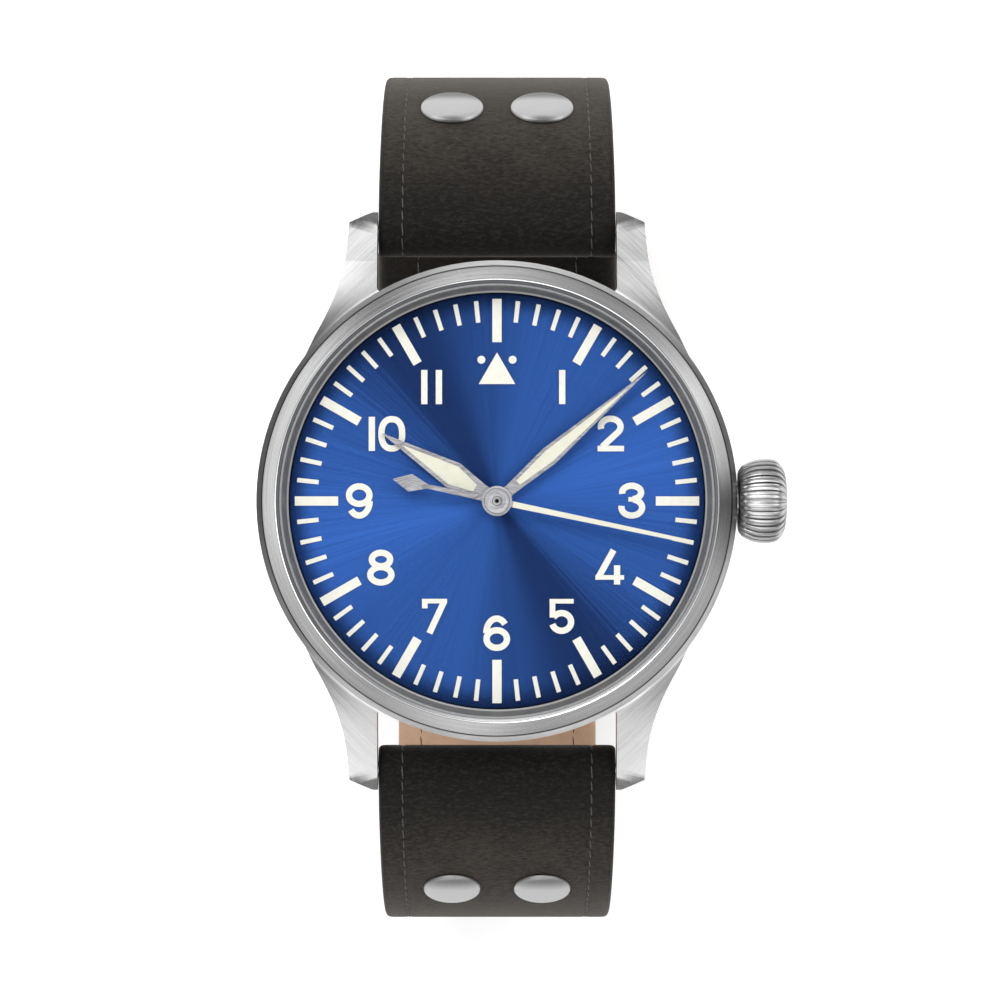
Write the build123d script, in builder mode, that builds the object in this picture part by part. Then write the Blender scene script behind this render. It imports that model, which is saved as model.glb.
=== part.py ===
"""Pilot watch: a 40 mm steel case, a hand-wound movement with its gear train, and a buckled leather strap.

Millimetres. +Z leaves the dial, +Y is 12 o'clock and +X is 3 o'clock, where the crown stands.
The origin is the centre of the case back's outer face.
"""

import os

from math import asin, atan2, cos, degrees, hypot, radians, sin, sqrt

from build123d import *

os.makedirs("parts", exist_ok=True)

# Clearances shared by every fit
cut_over = 1.0          # how far a cutting tool runs past the wall it cuts
press_gap = 0.01        # between pieces pressed or laid together
pivot_gap = 0.03        # a pivot in its hole, on the radius
running_gap = 0.05      # pieces that turn or slide beside each other
level_gap = 0.15        # between wheels on neighbouring levels

# Pins and holes thinner than this are drawn with flat sides
fine_r = 0.5
fine_sides = 8

# Case, seen from above
case_r = 20.0
lug_gap = 20.0
lug_tip_inner_y = 24.3
lug_tip_inner_x_run = 0.35
lug_tip_outer_x = 12.35
lug_tip_outer_y = 22.7
lug_waist_x = 14.5
lug_waist_y = 15.3
lug_root_angle = 23.8
lug_corner_r = 0.45
cavity_r = 17.55

# Case, seen from the side
case_low = 0.35
case_foot_run = 1.0
case_side_low = 1.6
case_side_high = 6.9
case_shoulder_r = 19.53
lug_crest = 6.7
lug_crest_y = 13.0
lug_slope_y = 20.0
lug_slope_z = 5.35
lug_nose_y = 23.7
lug_nose_z = 2.9
lug_tip_z = 1.3
lug_heel_y = 22.9
lug_heel_z = -0.15
lug_arch_y = 16.5
lug_arch_z = 1.2
lug_edge = 0.3

# Back of the case
back_ring_r = 18.4
back_ring_thick = 1.2
back_window_r = 13.0
back_crystal_r = 13.55
back_crystal_thick = 0.8
back_crystal_sink = 0.1
back_gasket_thick = 0.3
back_notch_count = 6
back_notch_r = 16.2
back_notch_wide = 1.6
back_notch_deep = 0.5

# Movement levels
winding_low = 1.3
winding_thick = 0.3
bridge_thick = 0.8
wheel_thick = 0.2
barrel_teeth_thick = 0.35
drum_high = 1.0
plate_thick = 1.6
motion_recess = 0.8
recess_r = 7.4
dial_thick = 0.4

# Hands and markers
dial_r = 17.45
dial_bore = 1.15
dial_foot_r = 0.35
dial_foot_long = 0.9
dial_foot_ring = 13.0
dial_foot_angles = (150, 330)
marker_thick = 0.12
hour_bar_inner = 13.2
hour_bar_outer = 16.8
hour_bar_wide = 0.77
triangle_base_y = 9.72
triangle_apex_y = 12.35
triangle_wide = 3.04
dot_r = 0.33
dot_x = 1.3
dot_y = 11.74
hand_clear = 0.3
hand_thick = 0.25
hand_gap = 0.2
hour_length = 11.2
hour_wide = 2.29
hour_wide_at = 4.2
hour_neck = 0.8
hour_hub_r = 1.7
hour_turn = 300.45
minute_length = 16.47
minute_wide = 1.6
minute_wide_at = 5.73
minute_neck = 0.7
minute_hub_r = 1.45
minute_turn = 49.26
seconds_length = 16.56
seconds_wide = 0.5
seconds_tip_wide = 0.3
seconds_hub_r = 1.25
seconds_turn = 101.9
seconds_thick = 0.2
seconds_tail = 8.86
seconds_diamond_at = 7.35
seconds_diamond_wide = 1.49
seconds_neck_at = 5.87
seconds_rod_wide = 0.36
seconds_lume_start = 1.35
pin_r = 0.4
pin_over = 0.12
pin_bore = 0.2
lume_sink = 0.04
hour_lume = ((0.33, 2.1), (0.86, 4.2), (0.06, 9.03))
minute_lume = ((0.24, 2.3), (0.54, 5.73), (0.05, 14.2))

# Bezel, crystal and inner ring
bezel_rise = 0.65
bezel_r = 19.48
bezel_wall_top = 8.6
bezel_crest_r = 18.4
bezel_crest = 9.2
bezel_lip_r = 18.3
crystal_r = 18.0
crystal_thick = 1.0
crystal_bevel = 0.2
crystal_seat = 0.25
crystal_clear = 0.35
gasket_high = 0.45
flange_foot_r = 17.3
flange_foot_wide = 0.2
flange_top_r = 17.9
flange_top_wide = 0.1

# Crown, stem and tube
stem_z = 4.4
crown_start = 20.12
crown_long = 4.1
crown_r = 3.5
crown_inner_r = 2.75
crown_outer_r = 2.65
crown_cap_r = 2.1
crown_crest_share = 0.5
crown_swell_run = 0.75
crown_swell_r = 3.26
crown_flutes = 30
crown_flute_deep = 0.22
crown_rib_share = 0.4
crown_foot_share = 0.75
crown_cap_deep = 0.45
crown_cavity_r = 1.6
crown_cavity_long = 2.0
crown_travel = 0.9
tube_outer_r = 1.1
tube_bore_r = 0.62
tube_inner_x = 17.0
tube_over = 1.75
seal_wide = 0.4
seal_at = 0.2
stem_r = 0.55
stem_square = 0.8
stem_pivot_r = 0.3
stem_end_x = 6.2
stem_square_start = 7.35
stem_square_end = 10.25
stem_socket_deep = 0.8

# Gear train: leaf and tooth counts, modules and tooth height shares of the module
addendum_share = 0.8
dedendum_share = 1.2
tooth_foot_share = 0.4
barrel_teeth = 56
barrel_module = 0.2
centre_leaves = 8
centre_teeth = 64
third_leaves = 8
third_teeth = 60
fourth_leaves = 8
fourth_teeth = 60
escape_leaves = 6
escape_teeth = 15
third_distance = 4.5
third_angle = 165.0
barrel_angle = 60.0
fourth_module = 0.132
escape_angle = -95.0
escape_r = 2.3
escape_root_r = 1.75
escape_rim = 0.22
escape_hub_r = 0.5
arbor_r = 0.15
arbor_pivot = 0.5
centre_pipe_r = 0.4
centre_pipe_bore = 0.22
rim_wide = 0.45
hub_r = 0.7
arm_wide = 0.35
drum_wall = 0.25
drum_share = 0.93
mainspring_core_r = 3.4
barrel_arbor_r = 0.9
ratchet_square = 1.1

# Balance and pallet fork
balance_angle = -125.0
balance_distance = 8.7
balance_r = 4.0
balance_rim = 0.42
balance_thick = 0.4
balance_arm_wide = 0.4
staff_r = 0.15
roller_r = 0.95
roller_thick = 0.13
impulse_r = 0.07
impulse_orbit = 0.75
fork_rise = 0.95
fork_thick = 0.2
fork_wide = 0.34
fork_notch = 0.2
fork_horn_wide = 0.6
fork_horn_reach = 0.17
pallet_span = 30.0
pallet_arm_wide = 0.36
stone_wide = 0.22
stone_clear = 0.03
pallet_bridge_thick = 0.3
pallet_bridge_wide = 1.3
pallet_foot_at = 2.2
pallet_foot_r = 0.55
hairspring_turns = 4
hairspring_inner = 0.7
hairspring_pitch = 0.55
hairspring_thick = 0.07
hairspring_high = 0.15
hairspring_drop = 0.12
collet_r = 0.6
stud_r = 0.22

# Motion work under the dial
motion_module = 0.17
cannon_leaves = 10
minute_teeth = 30
minute_leaves = 8
hour_teeth = 32
setting_teeth = 10
motion_rise = 0.15
cannon_r = 0.62
hour_pipe_bore = 0.68
hour_pipe_r = 1.0
setting_x = 6.25
post_r = 0.3

# Winding work on the back of the movement
ratchet_teeth = 40
crown_wheel_teeth = 24
crown_wheel_x = 8.4
face_teeth_count = 18
face_ring_wide = 0.5
winding_leaves = 12
winding_pinion_r = 1.5
winding_pinion_wide = 0.7
crown_wheel_core_r = 1.1
sliding_r = 1.4
sliding_long = 1.5
sliding_groove = 0.3
sliding_groove_wide = 0.4
clutch_teeth = 8
clutch_deep = 0.22
click_beak_angle = 120.0
click_long = 2.3
click_lean = 28.0
click_r = 0.75
click_post_r = 0.3
click_beak_wide = 0.5
click_tip_gap = 0.08

# Movement frame
plate_r = 14.4
wall_inner_r = 12.9
bridge_r = 14.2
split_angle = 30.0
split_at = 2.5
split_gap = 0.2
balance_well = 0.5
cock_wide = 4.4
cock_nose_r = 1.6
jewel_r = 0.55
jewel_thick = 0.35
screw_ring = 13.55
screw_angles = (-38, 30, 95, 125, 190, 285, 235)
screw_head_r = 0.75
screw_head_high = 0.3
screw_shank_r = 0.35
screw_long = 2.2
keyless_slot_half = 1.9
keyless_slot_start = 7.3
keyless_slot_end = 11.6
stem_block_long = 0.8
stem_block_half = 0.6
stem_block_drop = 0.75
holder_gap = 0.04
holder_floor = 0.02

# Spring bars
bar_y = 22.5
bar_z = 1.6
bar_r = 0.75
bar_long = 18.6
bar_tip_r = 0.4
bar_tip_long = 2.6
bar_tip_reach = 0.9
bar_tip_bore_over = 0.06
bar_tip_travel = 1.1

# Strap
strap_half_top = 9.85
strap_half_mid = 9.6
strap_half_low = 8.9
strap_top_level = 1.0
strap_mid_level = -19.5
strap_low_rise = 2.8
strap_fold_r = 2.0
strap_thick = 2.8
leather_thick = 1.6
fold_start = 3.4
reach_12 = 37.2
reach_6 = 36.45
sweep_r_12 = 26.2
sweep_r_6 = 24.8
turn_r_12 = 15.0
layer_gap = 0.2
tail_end_y = 29.0
tail_corner_r = 6.0
strap_hole = 0.95
rivet_r = 2.55
rivet_high = 0.75
rivet_shank_r = 0.8
rivet_x = 3.9
rivet_angle_12 = 30.7
rivet_angle_6 = 30.5
rivet_edge = 0.15
rivet_crown_share = 0.6
rivet_sink = 2.2
rivet_hole_sink = 2.3

# Buckle and keepers
buckle_y = -3.5
buckle_pin_r = 0.7
buckle_half = 9.4
buckle_arm = 1.5
buckle_eye_r = 1.45
buckle_reach = 9.2
buckle_bar_wide = 2.4
buckle_fold_r = 1.75
tongue_wide = 1.1
tongue_thick = 0.7
tongue_eye_r = 1.2
tongue_bend = 2.7
tongue_slot_half = 0.85
tongue_slot_long = 2.6
tongue_hole_long = 3.2
tongue_hole_wide = 1.6
tongue_hole_run = 1.4
tongue_gap = 0.1
hole_pitch = 6.5
hole_count = 5
keeper_half = 10.75
keeper_thick = 1.25
keeper_gap = 0.25
keeper_long = 7.0
fixed_keeper_y = 5.5
sliding_keeper_y = 19.2
keeper_travel = 5.0


def spot(radius, angle):
    """The point at a radius and an angle from +X."""
    return radius * cos(radians(angle)), radius * sin(radians(angle))


def along(start, end, distance):
    """The point a distance from start towards end."""
    span = hypot(end[0] - start[0], end[1] - start[1])
    return tuple(a + (b - a) * distance / span for a, b in zip(start, end))


def turned(*corners):
    """A ring turned about the hand axis from corners of radius and height."""
    with BuildPart() as ring:
        with BuildSketch(Plane.XZ):
            with BuildLine():
                Polyline(*corners, close=True)
            make_face()
        revolve(axis=Axis.Z)
    return ring.part


def rounded(radius, **options):
    """A round outline, with flat sides where it is too small to matter."""
    if radius < fine_r:
        return RegularPolygon(radius, fine_sides, **options)
    return Circle(radius, **options)


def upright(centre, low, high, radius):
    """A round pin standing between two heights."""
    with BuildPart() as pin:
        with BuildSketch(Plane((*centre, low))):
            rounded(radius)
        extrude(amount=high - low)
    return pin.part


def crosswise(start, end, radius, y=0.0, z=stem_z):
    """A round pin lying along X between two places."""
    with BuildPart() as pin:
        with BuildSketch(Plane.YZ.offset(start)):
            with Locations((y, z)):
                rounded(radius)
        extrude(amount=end - start)
    return pin.part


def tooth_line(teeth, root_r, tip_r, phase):
    """Outline of a wheel with pointed teeth."""
    pitch = 360 / teeth
    corners = []
    for number in range(teeth):
        angle = phase + number * pitch
        corners += [spot(tip_r, angle), spot(root_r, angle + pitch / 2)]
    with BuildSketch() as outline:
        with BuildLine():
            Polyline(*corners, close=True)
        make_face()
    return outline.sketch


def gear(centre, low, high, teeth, module, phase):
    """A plain toothed disc on its pitch circle."""
    pitch_r = teeth * module / 2
    outline = tooth_line(
        teeth, pitch_r - dedendum_share * module, pitch_r + addendum_share * module, phase
    )
    with BuildPart() as disc:
        with BuildSketch(Plane((*centre, low))):
            add(outline)
        extrude(amount=high - low)
    return disc.part


def crossed_gear(centre, low, high, teeth, module, phase, arms):
    """A toothed wheel with windows between its arms."""
    window_r = teeth * module / 2 - dedendum_share * module - rim_wide
    with BuildPart() as wheel:
        add(gear(centre, low, high, teeth, module, phase))
        with BuildSketch(Plane((*centre, low))):
            Circle(window_r)
            Circle(hub_r, mode=Mode.SUBTRACT)
            with PolarLocations(0, arms, start_angle=phase):
                Rectangle(
                    window_r + cut_over, arm_wide, align=(Align.MIN, Align.CENTER), mode=Mode.SUBTRACT
                )
        extrude(amount=high - low, mode=Mode.SUBTRACT)
    return wheel.part


def meshed(direction, phase, teeth, other_teeth):
    """The phase of a gear that meshes with another one lying in the opposite direction."""
    offset = (direction - phase) * teeth / 360
    return direction + 180 - (0.5 - offset) * 360 / other_teeth


def face_teeth(count, inner_r, outer_r, deep, sink):
    """A ring of radial V teeth that stands on the XY plane and is sunk a little into it."""
    half = tooth_foot_share * 2 * inner_r * sin(radians(180 / count))
    with BuildPart() as tooth:
        with BuildSketch(Plane(origin=(inner_r, 0, 0), x_dir=(0, 1, 0), z_dir=(1, 0, 0))):
            with BuildLine():
                Polyline((-half, -sink), (half, -sink), (half, 0), (0, deep), (-half, 0), close=True)
            make_face()
        extrude(amount=outer_r - inner_r)
    with BuildPart() as ring:
        with PolarLocations(0, count):
            add(tooth.part)
    return ring.part


# Heights of the movement, worked upwards from the winding wheels
bridge_low = winding_low + winding_thick + running_gap
train_low = bridge_low + bridge_thick
fourth_low = train_low + level_gap
third_low = fourth_low + wheel_thick + level_gap
centre_low = third_low + wheel_thick + level_gap
drum_low = centre_low + wheel_thick + level_gap
plate_low = drum_low + drum_high + level_gap
recess_floor = plate_low + plate_thick - motion_recess
dial_low = plate_low + plate_thick
dial_top = dial_low + dial_thick
hour_low = dial_top + hand_clear
minute_low = hour_low + hand_thick + hand_gap
seconds_low = minute_low + hand_thick + hand_gap
seconds_top = seconds_low + seconds_thick
crystal_low = seconds_top + crystal_clear
crystal_top = crystal_low + crystal_thick
bezel_low = dial_top + bezel_rise
fork_low = plate_low - fork_rise
pallet_bridge_low = fork_low - running_gap - pallet_bridge_thick
balance_low = pallet_bridge_low - level_gap - balance_thick
hairspring_low = balance_low - hairspring_drop - hairspring_high

# Places of the movement, seen from the dial
third_module = 2 * third_distance / (centre_teeth + third_leaves)
fourth_leaf_module = 2 * third_distance / (third_teeth + fourth_leaves)
barrel_distance = barrel_module * (barrel_teeth + centre_leaves) / 2
escape_distance = fourth_module * (fourth_teeth + escape_leaves) / 2
centre = (0.0, 0.0)
third = spot(third_distance, third_angle)
barrel = spot(barrel_distance, barrel_angle)
escape = spot(escape_distance, escape_angle)
balance = spot(balance_distance, balance_angle)
pallet = along(escape, balance, escape_r / cos(radians(pallet_span)))
lever_angle = degrees(atan2(balance[1] - escape[1], balance[0] - escape[0]))
drum_r = drum_share * barrel_module * barrel_teeth / 2
motion_distance = motion_module * (cannon_leaves + minute_teeth) / 2
setting_distance = motion_module * (minute_teeth + setting_teeth) / 2
minute_angle = -degrees(
    asin(
        sqrt(motion_distance**2 - (setting_x / 2) ** 2) / motion_distance
    )
)
minute_post = spot(motion_distance, minute_angle)
setting = (setting_x, 0.0)

# Case, fixed pieces

lug_root = spot(case_r, lug_root_angle)
lug_inner_x = lug_gap / 2

with BuildPart() as lugs:
    with BuildSketch(Plane.XY.offset(lug_heel_z)) as plan:
        Circle(case_r - lug_corner_r / 2)
        with BuildLine():
            edge = ThreePointArc(lug_root, (lug_waist_x, lug_waist_y), (lug_tip_outer_x, lug_tip_outer_y))
            Polyline(
                edge @ 1,
                (lug_inner_x + lug_tip_inner_x_run, lug_tip_inner_y),
                (lug_inner_x, lug_tip_inner_y),
                (lug_inner_x, 0),
                (lug_root[0], 0),
                lug_root,
            )
        make_face()
        mirror(about=Plane.XZ)
        mirror(about=Plane.YZ)
        corners = [v for v in plan.vertices() if abs(abs(v.X) - lug_inner_x) < lug_corner_r / 10]
        fillet([v for v in corners if abs(v.Y) < case_r], lug_corner_r)
    extrude(amount=case_side_high - lug_heel_z)
    with BuildSketch(Plane.YZ):
        with BuildLine():
            crest = Line((0, lug_crest), (lug_crest_y, lug_crest))
            slope = TangentArc(crest @ 1, (lug_slope_y, lug_slope_z), tangent=crest % 1)
            nose = ThreePointArc(slope @ 1, (lug_nose_y, lug_nose_z), (lug_tip_inner_y, lug_tip_z))
            heel = Line(nose @ 1, (lug_heel_y, lug_heel_z))
            arch = ThreePointArc(
                heel @ 1,
                ((lug_heel_y + lug_arch_y) / 2, (lug_heel_z + lug_arch_z) / 2 + lug_edge),
                (lug_arch_y, lug_arch_z),
            )
            Polyline(arch @ 1, (0, case_side_low), (0, lug_crest))
        make_face()
        mirror(about=Plane.YZ)
    extrude(amount=case_r, both=True, mode=Mode.INTERSECT)

with BuildPart() as case_body:
    add(
        turned(
            (0, case_low),
            (case_r - case_foot_run, case_low),
            (case_r, case_side_low),
            (case_r, case_side_high),
            (case_shoulder_r, bezel_low),
            (0, bezel_low),
        )
    )
    add(lugs.part)
    add(
        turned(
            (0, case_low - cut_over),
            (back_ring_r + running_gap, case_low - cut_over),
            (back_ring_r + running_gap, back_ring_thick + back_gasket_thick),
            (cavity_r, back_ring_thick + back_gasket_thick),
            (cavity_r, dial_top),
            (crystal_r, bezel_low + cut_over),
            (0, bezel_low + cut_over),
        ),
        mode=Mode.SUBTRACT,
    )
    add(crosswise(cavity_r - cut_over, case_r + cut_over, tube_outer_r + press_gap), mode=Mode.SUBTRACT)
    for side in (-1, 1):
        tip_end = lug_inner_x + bar_tip_reach + bar_tip_bore_over
        add(
            crosswise(-tip_end, tip_end, bar_tip_r + bar_tip_bore_over, side * bar_y, bar_z),
            mode=Mode.SUBTRACT,
        )
case_body.part.label = "case_body"
export_step(case_body.part, "parts/case_body.step")

with BuildPart() as bezel:
    add(
        turned(
            (crystal_r + running_gap, bezel_low),
            (bezel_r, bezel_low),
            (bezel_r, bezel_wall_top),
            (bezel_crest_r, bezel_crest),
            (bezel_lip_r, bezel_crest - running_gap),
            (bezel_lip_r, crystal_low),
            (crystal_r + running_gap, crystal_low),
        )
    )
bezel.part.label = "bezel"
export_step(bezel.part, "parts/bezel.step")

with BuildPart() as crystal:
    add(
        turned(
            (0, crystal_low),
            (crystal_r, crystal_low),
            (crystal_r, crystal_top - crystal_bevel),
            (crystal_r - crystal_bevel, crystal_top),
            (0, crystal_top),
        )
    )
crystal.part.label = "crystal"
export_step(crystal.part, "parts/crystal.step")

with BuildPart() as gaskets:
    add(
        turned(
            (crystal_r + press_gap, crystal_low),
            (bezel_lip_r - press_gap, crystal_low),
            (bezel_lip_r - press_gap, crystal_low + gasket_high),
            (crystal_r + press_gap, crystal_low + gasket_high),
        )
    )
    add(
        turned(
            (cavity_r + running_gap, back_ring_thick),
            (back_ring_r - running_gap, back_ring_thick),
            (back_ring_r - running_gap, back_ring_thick + back_gasket_thick),
            (cavity_r + running_gap, back_ring_thick + back_gasket_thick),
        )
    )
gaskets.part.label = "case_gaskets"
export_step(gaskets.part, "parts/case_gaskets.step")

with BuildPart() as inner_ring:
    add(
        turned(
            (flange_foot_r, dial_top),
            (flange_foot_r + flange_foot_wide, dial_top),
            (flange_top_r + flange_top_wide, crystal_low - running_gap),
            (flange_top_r, crystal_low - running_gap),
        )
    )
inner_ring.part.label = "inner_ring"
export_step(inner_ring.part, "parts/inner_ring.step")

crystal_back_high = back_crystal_sink + back_crystal_thick
with BuildPart() as back_ring:
    add(
        turned(
            (back_crystal_r + press_gap, 0),
            (back_ring_r, 0),
            (back_ring_r, back_ring_thick),
            (back_window_r, back_ring_thick),
            (back_window_r, crystal_back_high),
            (back_crystal_r + press_gap, crystal_back_high),
        )
    )
    with BuildSketch():
        with PolarLocations(back_notch_r, back_notch_count):
            Rectangle(back_notch_wide, back_notch_wide)
    extrude(amount=back_notch_deep, mode=Mode.SUBTRACT)
back_ring.part.label = "back_ring"
export_step(back_ring.part, "parts/back_ring.step")

with BuildPart() as back_crystal:
    add(upright(centre, back_crystal_sink, crystal_back_high, back_crystal_r))
back_crystal.part.label = "back_crystal"
export_step(back_crystal.part, "parts/back_crystal.step")

tube_end = case_r + tube_over
with BuildPart() as crown_tube:
    add(crosswise(tube_inner_x, tube_end, tube_outer_r))
    add(crosswise(tube_inner_x - cut_over, tube_end + cut_over, tube_bore_r), mode=Mode.SUBTRACT)
crown_tube.part.label = "crown_tube"
export_step(crown_tube.part, "parts/crown_tube.step")

with BuildPart() as movement_ring:
    add(
        turned(
            (plate_r + holder_gap, back_ring_thick + holder_floor),
            (cavity_r - running_gap, back_ring_thick + holder_floor),
            (cavity_r - running_gap, dial_low),
            (plate_r + holder_gap, dial_low),
        )
    )
    add(crosswise(plate_r - cut_over, case_r, tube_outer_r + running_gap), mode=Mode.SUBTRACT)
movement_ring.part.label = "movement_ring"
export_step(movement_ring.part, "parts/movement_ring.step")

# Dial and its markers

with BuildPart() as dial:
    with BuildSketch(Plane.XY.offset(dial_low)):
        Circle(dial_r)
        Circle(dial_bore, mode=Mode.SUBTRACT)
    extrude(amount=dial_thick)
    for angle in dial_foot_angles:
        foot = spot(dial_foot_ring, angle)
        add(upright(foot, dial_low - dial_foot_long, dial_low, dial_foot_r))
dial.part.label = "dial"
export_step(dial.part, "parts/dial.step")

with BuildPart() as markers:
    with BuildSketch(Plane.XY.offset(dial_top)):
        with PolarLocations((hour_bar_inner + hour_bar_outer) / 2, 12):
            Rectangle(hour_bar_outer - hour_bar_inner, hour_bar_wide)
        with BuildLine():
            Polyline(
                (-triangle_wide / 2, triangle_base_y),
                (triangle_wide / 2, triangle_base_y),
                (0, triangle_apex_y),
                close=True,
            )
        make_face()
        with Locations((-dot_x, dot_y), (dot_x, dot_y)):
            Circle(dot_r)
    extrude(amount=marker_thick)
markers.part.label = "dial_markers"
export_step(markers.part, "parts/dial_markers.step")

# Hands, each with its luminous insert


def pointed(neck, neck_at, wide, wide_at, length):
    """Outline of a lozenge hand along +Y, from its neck to its point."""
    with BuildSketch() as outline:
        with BuildLine():
            Polyline(
                (-neck / 2, neck_at),
                (neck / 2, neck_at),
                (wide / 2, wide_at),
                (0, length),
                (-wide / 2, wide_at),
                close=True,
            )
        make_face()
    return outline.sketch


def lume_outline(points, shrink):
    """Outline of a luminous insert from half widths and places along the hand."""
    half = [(width - shrink, place) for width, place in points]
    half[0] = (half[0][0], points[0][1] + shrink)
    half[-1] = (half[-1][0], points[-1][1] - shrink)
    with BuildSketch() as outline:
        with BuildLine():
            Polyline(*half, *[(-width, place) for width, place in reversed(half)], close=True)
        make_face()
    return outline.sketch


def lozenge_hand(low, turn, outline, hub, bore, lume):
    """A flat hand with a window for its insert and a hole for its pipe."""
    face = Plane.XY.offset(low).rotated((0, 0, -turn))
    with BuildPart() as hand:
        with BuildSketch(face):
            add(outline)
            Circle(hub)
            Circle(bore, mode=Mode.SUBTRACT)
            add(lume_outline(lume, 0), mode=Mode.SUBTRACT)
        extrude(amount=hand_thick)
    with BuildPart() as insert:
        with BuildSketch(face):
            add(lume_outline(lume, press_gap))
        extrude(amount=hand_thick - lume_sink)
    return hand.part, insert.part


hour_shape = pointed(hour_neck, 0, hour_wide, hour_wide_at, hour_length)
hour_hand, hour_insert = lozenge_hand(
    hour_low, hour_turn, hour_shape, hour_hub_r, hour_pipe_r + press_gap, hour_lume
)
hour_hand.label = "hour_hand"
hour_insert.label = "hour_hand_lume"
minute_shape = pointed(minute_neck, 0, minute_wide, minute_wide_at, minute_length)
minute_hand, minute_insert = lozenge_hand(
    minute_low, minute_turn, minute_shape, minute_hub_r, cannon_r + press_gap, minute_lume
)
minute_hand.label = "minute_hand"
minute_insert.label = "minute_hand_lume"
for piece in (hour_hand, hour_insert, minute_hand, minute_insert):
    export_step(piece, f"parts/{piece.label}.step")

seconds_face = Plane.XY.offset(seconds_low).rotated((0, 0, -seconds_turn))
with BuildPart() as seconds_hand:
    with BuildSketch(seconds_face):
        with BuildLine():
            Polyline(
                (-seconds_wide / 2, 0),
                (-seconds_tip_wide / 2, seconds_length),
                (seconds_tip_wide / 2, seconds_length),
                (seconds_wide / 2, 0),
                (seconds_rod_wide / 2, -seconds_neck_at),
                (seconds_diamond_wide / 2, -seconds_diamond_at),
                (0, -seconds_tail),
                (-seconds_diamond_wide / 2, -seconds_diamond_at),
                (-seconds_rod_wide / 2, -seconds_neck_at),
                close=True,
            )
        make_face()
        Circle(seconds_hub_r)
    extrude(amount=seconds_thick)
    with BuildSketch(Plane.XY.offset(seconds_top)):
        Circle(pin_r)
        Circle(pin_bore, mode=Mode.SUBTRACT)
    extrude(amount=pin_over)
    add(upright(centre, seconds_low - cut_over, seconds_top - lume_sink, arbor_r + press_gap),
        mode=Mode.SUBTRACT)
seconds_hand.part.label = "seconds_hand"
export_step(seconds_hand.part, "parts/seconds_hand.step")

with BuildPart() as seconds_lume:
    with BuildSketch(Plane.XY.offset(seconds_top).rotated((0, 0, -seconds_turn))):
        with BuildLine():
            Polyline(
                (-seconds_wide / 2, seconds_lume_start),
                (-seconds_tip_wide / 2, seconds_length),
                (seconds_tip_wide / 2, seconds_length),
                (seconds_wide / 2, seconds_lume_start),
                close=True,
            )
        make_face()
    extrude(amount=lume_sink)
seconds_lume.part.label = "seconds_hand_lume"
export_step(seconds_lume.part, "parts/seconds_hand_lume.step")

# Gear train

third_phase = meshed(third_angle, 0, centre_teeth, third_leaves)
third_wheel_phase = third_phase
fourth_leaf_phase = meshed(third_angle - 180, third_wheel_phase, third_teeth, fourth_leaves)
escape_phase = meshed(escape_angle, 0, fourth_teeth, escape_leaves)
barrel_phase = meshed(barrel_angle, 0, centre_leaves, barrel_teeth)
pivot_low = bridge_low + jewel_thick + press_gap
pivot_high = plate_low + arbor_pivot

with BuildPart() as fourth_wheel:
    add(
        crossed_gear(
            centre, fourth_low, fourth_low + wheel_thick, fourth_teeth, fourth_module, 0, 5
        )
    )
    add(
        gear(
            centre,
            fourth_low + wheel_thick,
            third_low + wheel_thick + running_gap,
            fourth_leaves,
            fourth_leaf_module,
            fourth_leaf_phase,
        )
    )
    add(upright(centre, pivot_low, seconds_top - lume_sink, arbor_r))
fourth_wheel.part.label = "fourth_wheel"
export_step(fourth_wheel.part, "parts/fourth_wheel.step")

with BuildPart() as third_wheel:
    add(
        crossed_gear(
            third, third_low, third_low + wheel_thick, third_teeth, fourth_leaf_module, third_wheel_phase, 5
        )
    )
    add(
        gear(
            third,
            third_low + wheel_thick,
            centre_low + wheel_thick + running_gap,
            third_leaves,
            third_module,
            third_phase,
        )
    )
    add(upright(third, pivot_low, pivot_high, arbor_r))
third_wheel.part.label = "third_wheel"
export_step(third_wheel.part, "parts/third_wheel.step")

with BuildPart() as centre_wheel:
    add(crossed_gear(centre, centre_low, centre_low + wheel_thick, centre_teeth, third_module, 0, 5))
    add(
        gear(
            centre,
            centre_low + wheel_thick,
            drum_low + barrel_teeth_thick + level_gap,
            centre_leaves,
            barrel_module,
            0,
        )
    )
    add(upright(centre, centre_low, minute_low - hand_gap, centre_pipe_r))
    add(upright(centre, centre_low - cut_over, minute_low + cut_over, centre_pipe_bore), mode=Mode.SUBTRACT)
centre_wheel.part.label = "centre_wheel"
export_step(centre_wheel.part, "parts/centre_wheel.step")

drum_room_r = drum_r - drum_wall
with BuildPart() as barrel_drum:
    add(upright(barrel, drum_low, drum_low + drum_high, drum_r))
    add(
        gear(
            barrel, drum_low, drum_low + barrel_teeth_thick, barrel_teeth, barrel_module, barrel_phase
        )
    )
    add(
        upright(barrel, drum_low + drum_wall, drum_low + drum_high - drum_wall, drum_room_r),
        mode=Mode.SUBTRACT,
    )
    add(
        upright(
            barrel, drum_low - cut_over, drum_low + drum_high + cut_over, barrel_arbor_r + pivot_gap
        ),
        mode=Mode.SUBTRACT,
    )
barrel_drum.part.label = "barrel"
export_step(barrel_drum.part, "parts/barrel.step")

with BuildPart() as mainspring:
    with BuildSketch(Plane((*barrel, drum_low + drum_wall + running_gap))):
        Circle(drum_room_r - running_gap)
        Circle(mainspring_core_r, mode=Mode.SUBTRACT)
    extrude(amount=drum_high - 2 * drum_wall - 2 * running_gap)
mainspring.part.label = "mainspring"
export_step(mainspring.part, "parts/mainspring.step")

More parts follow.
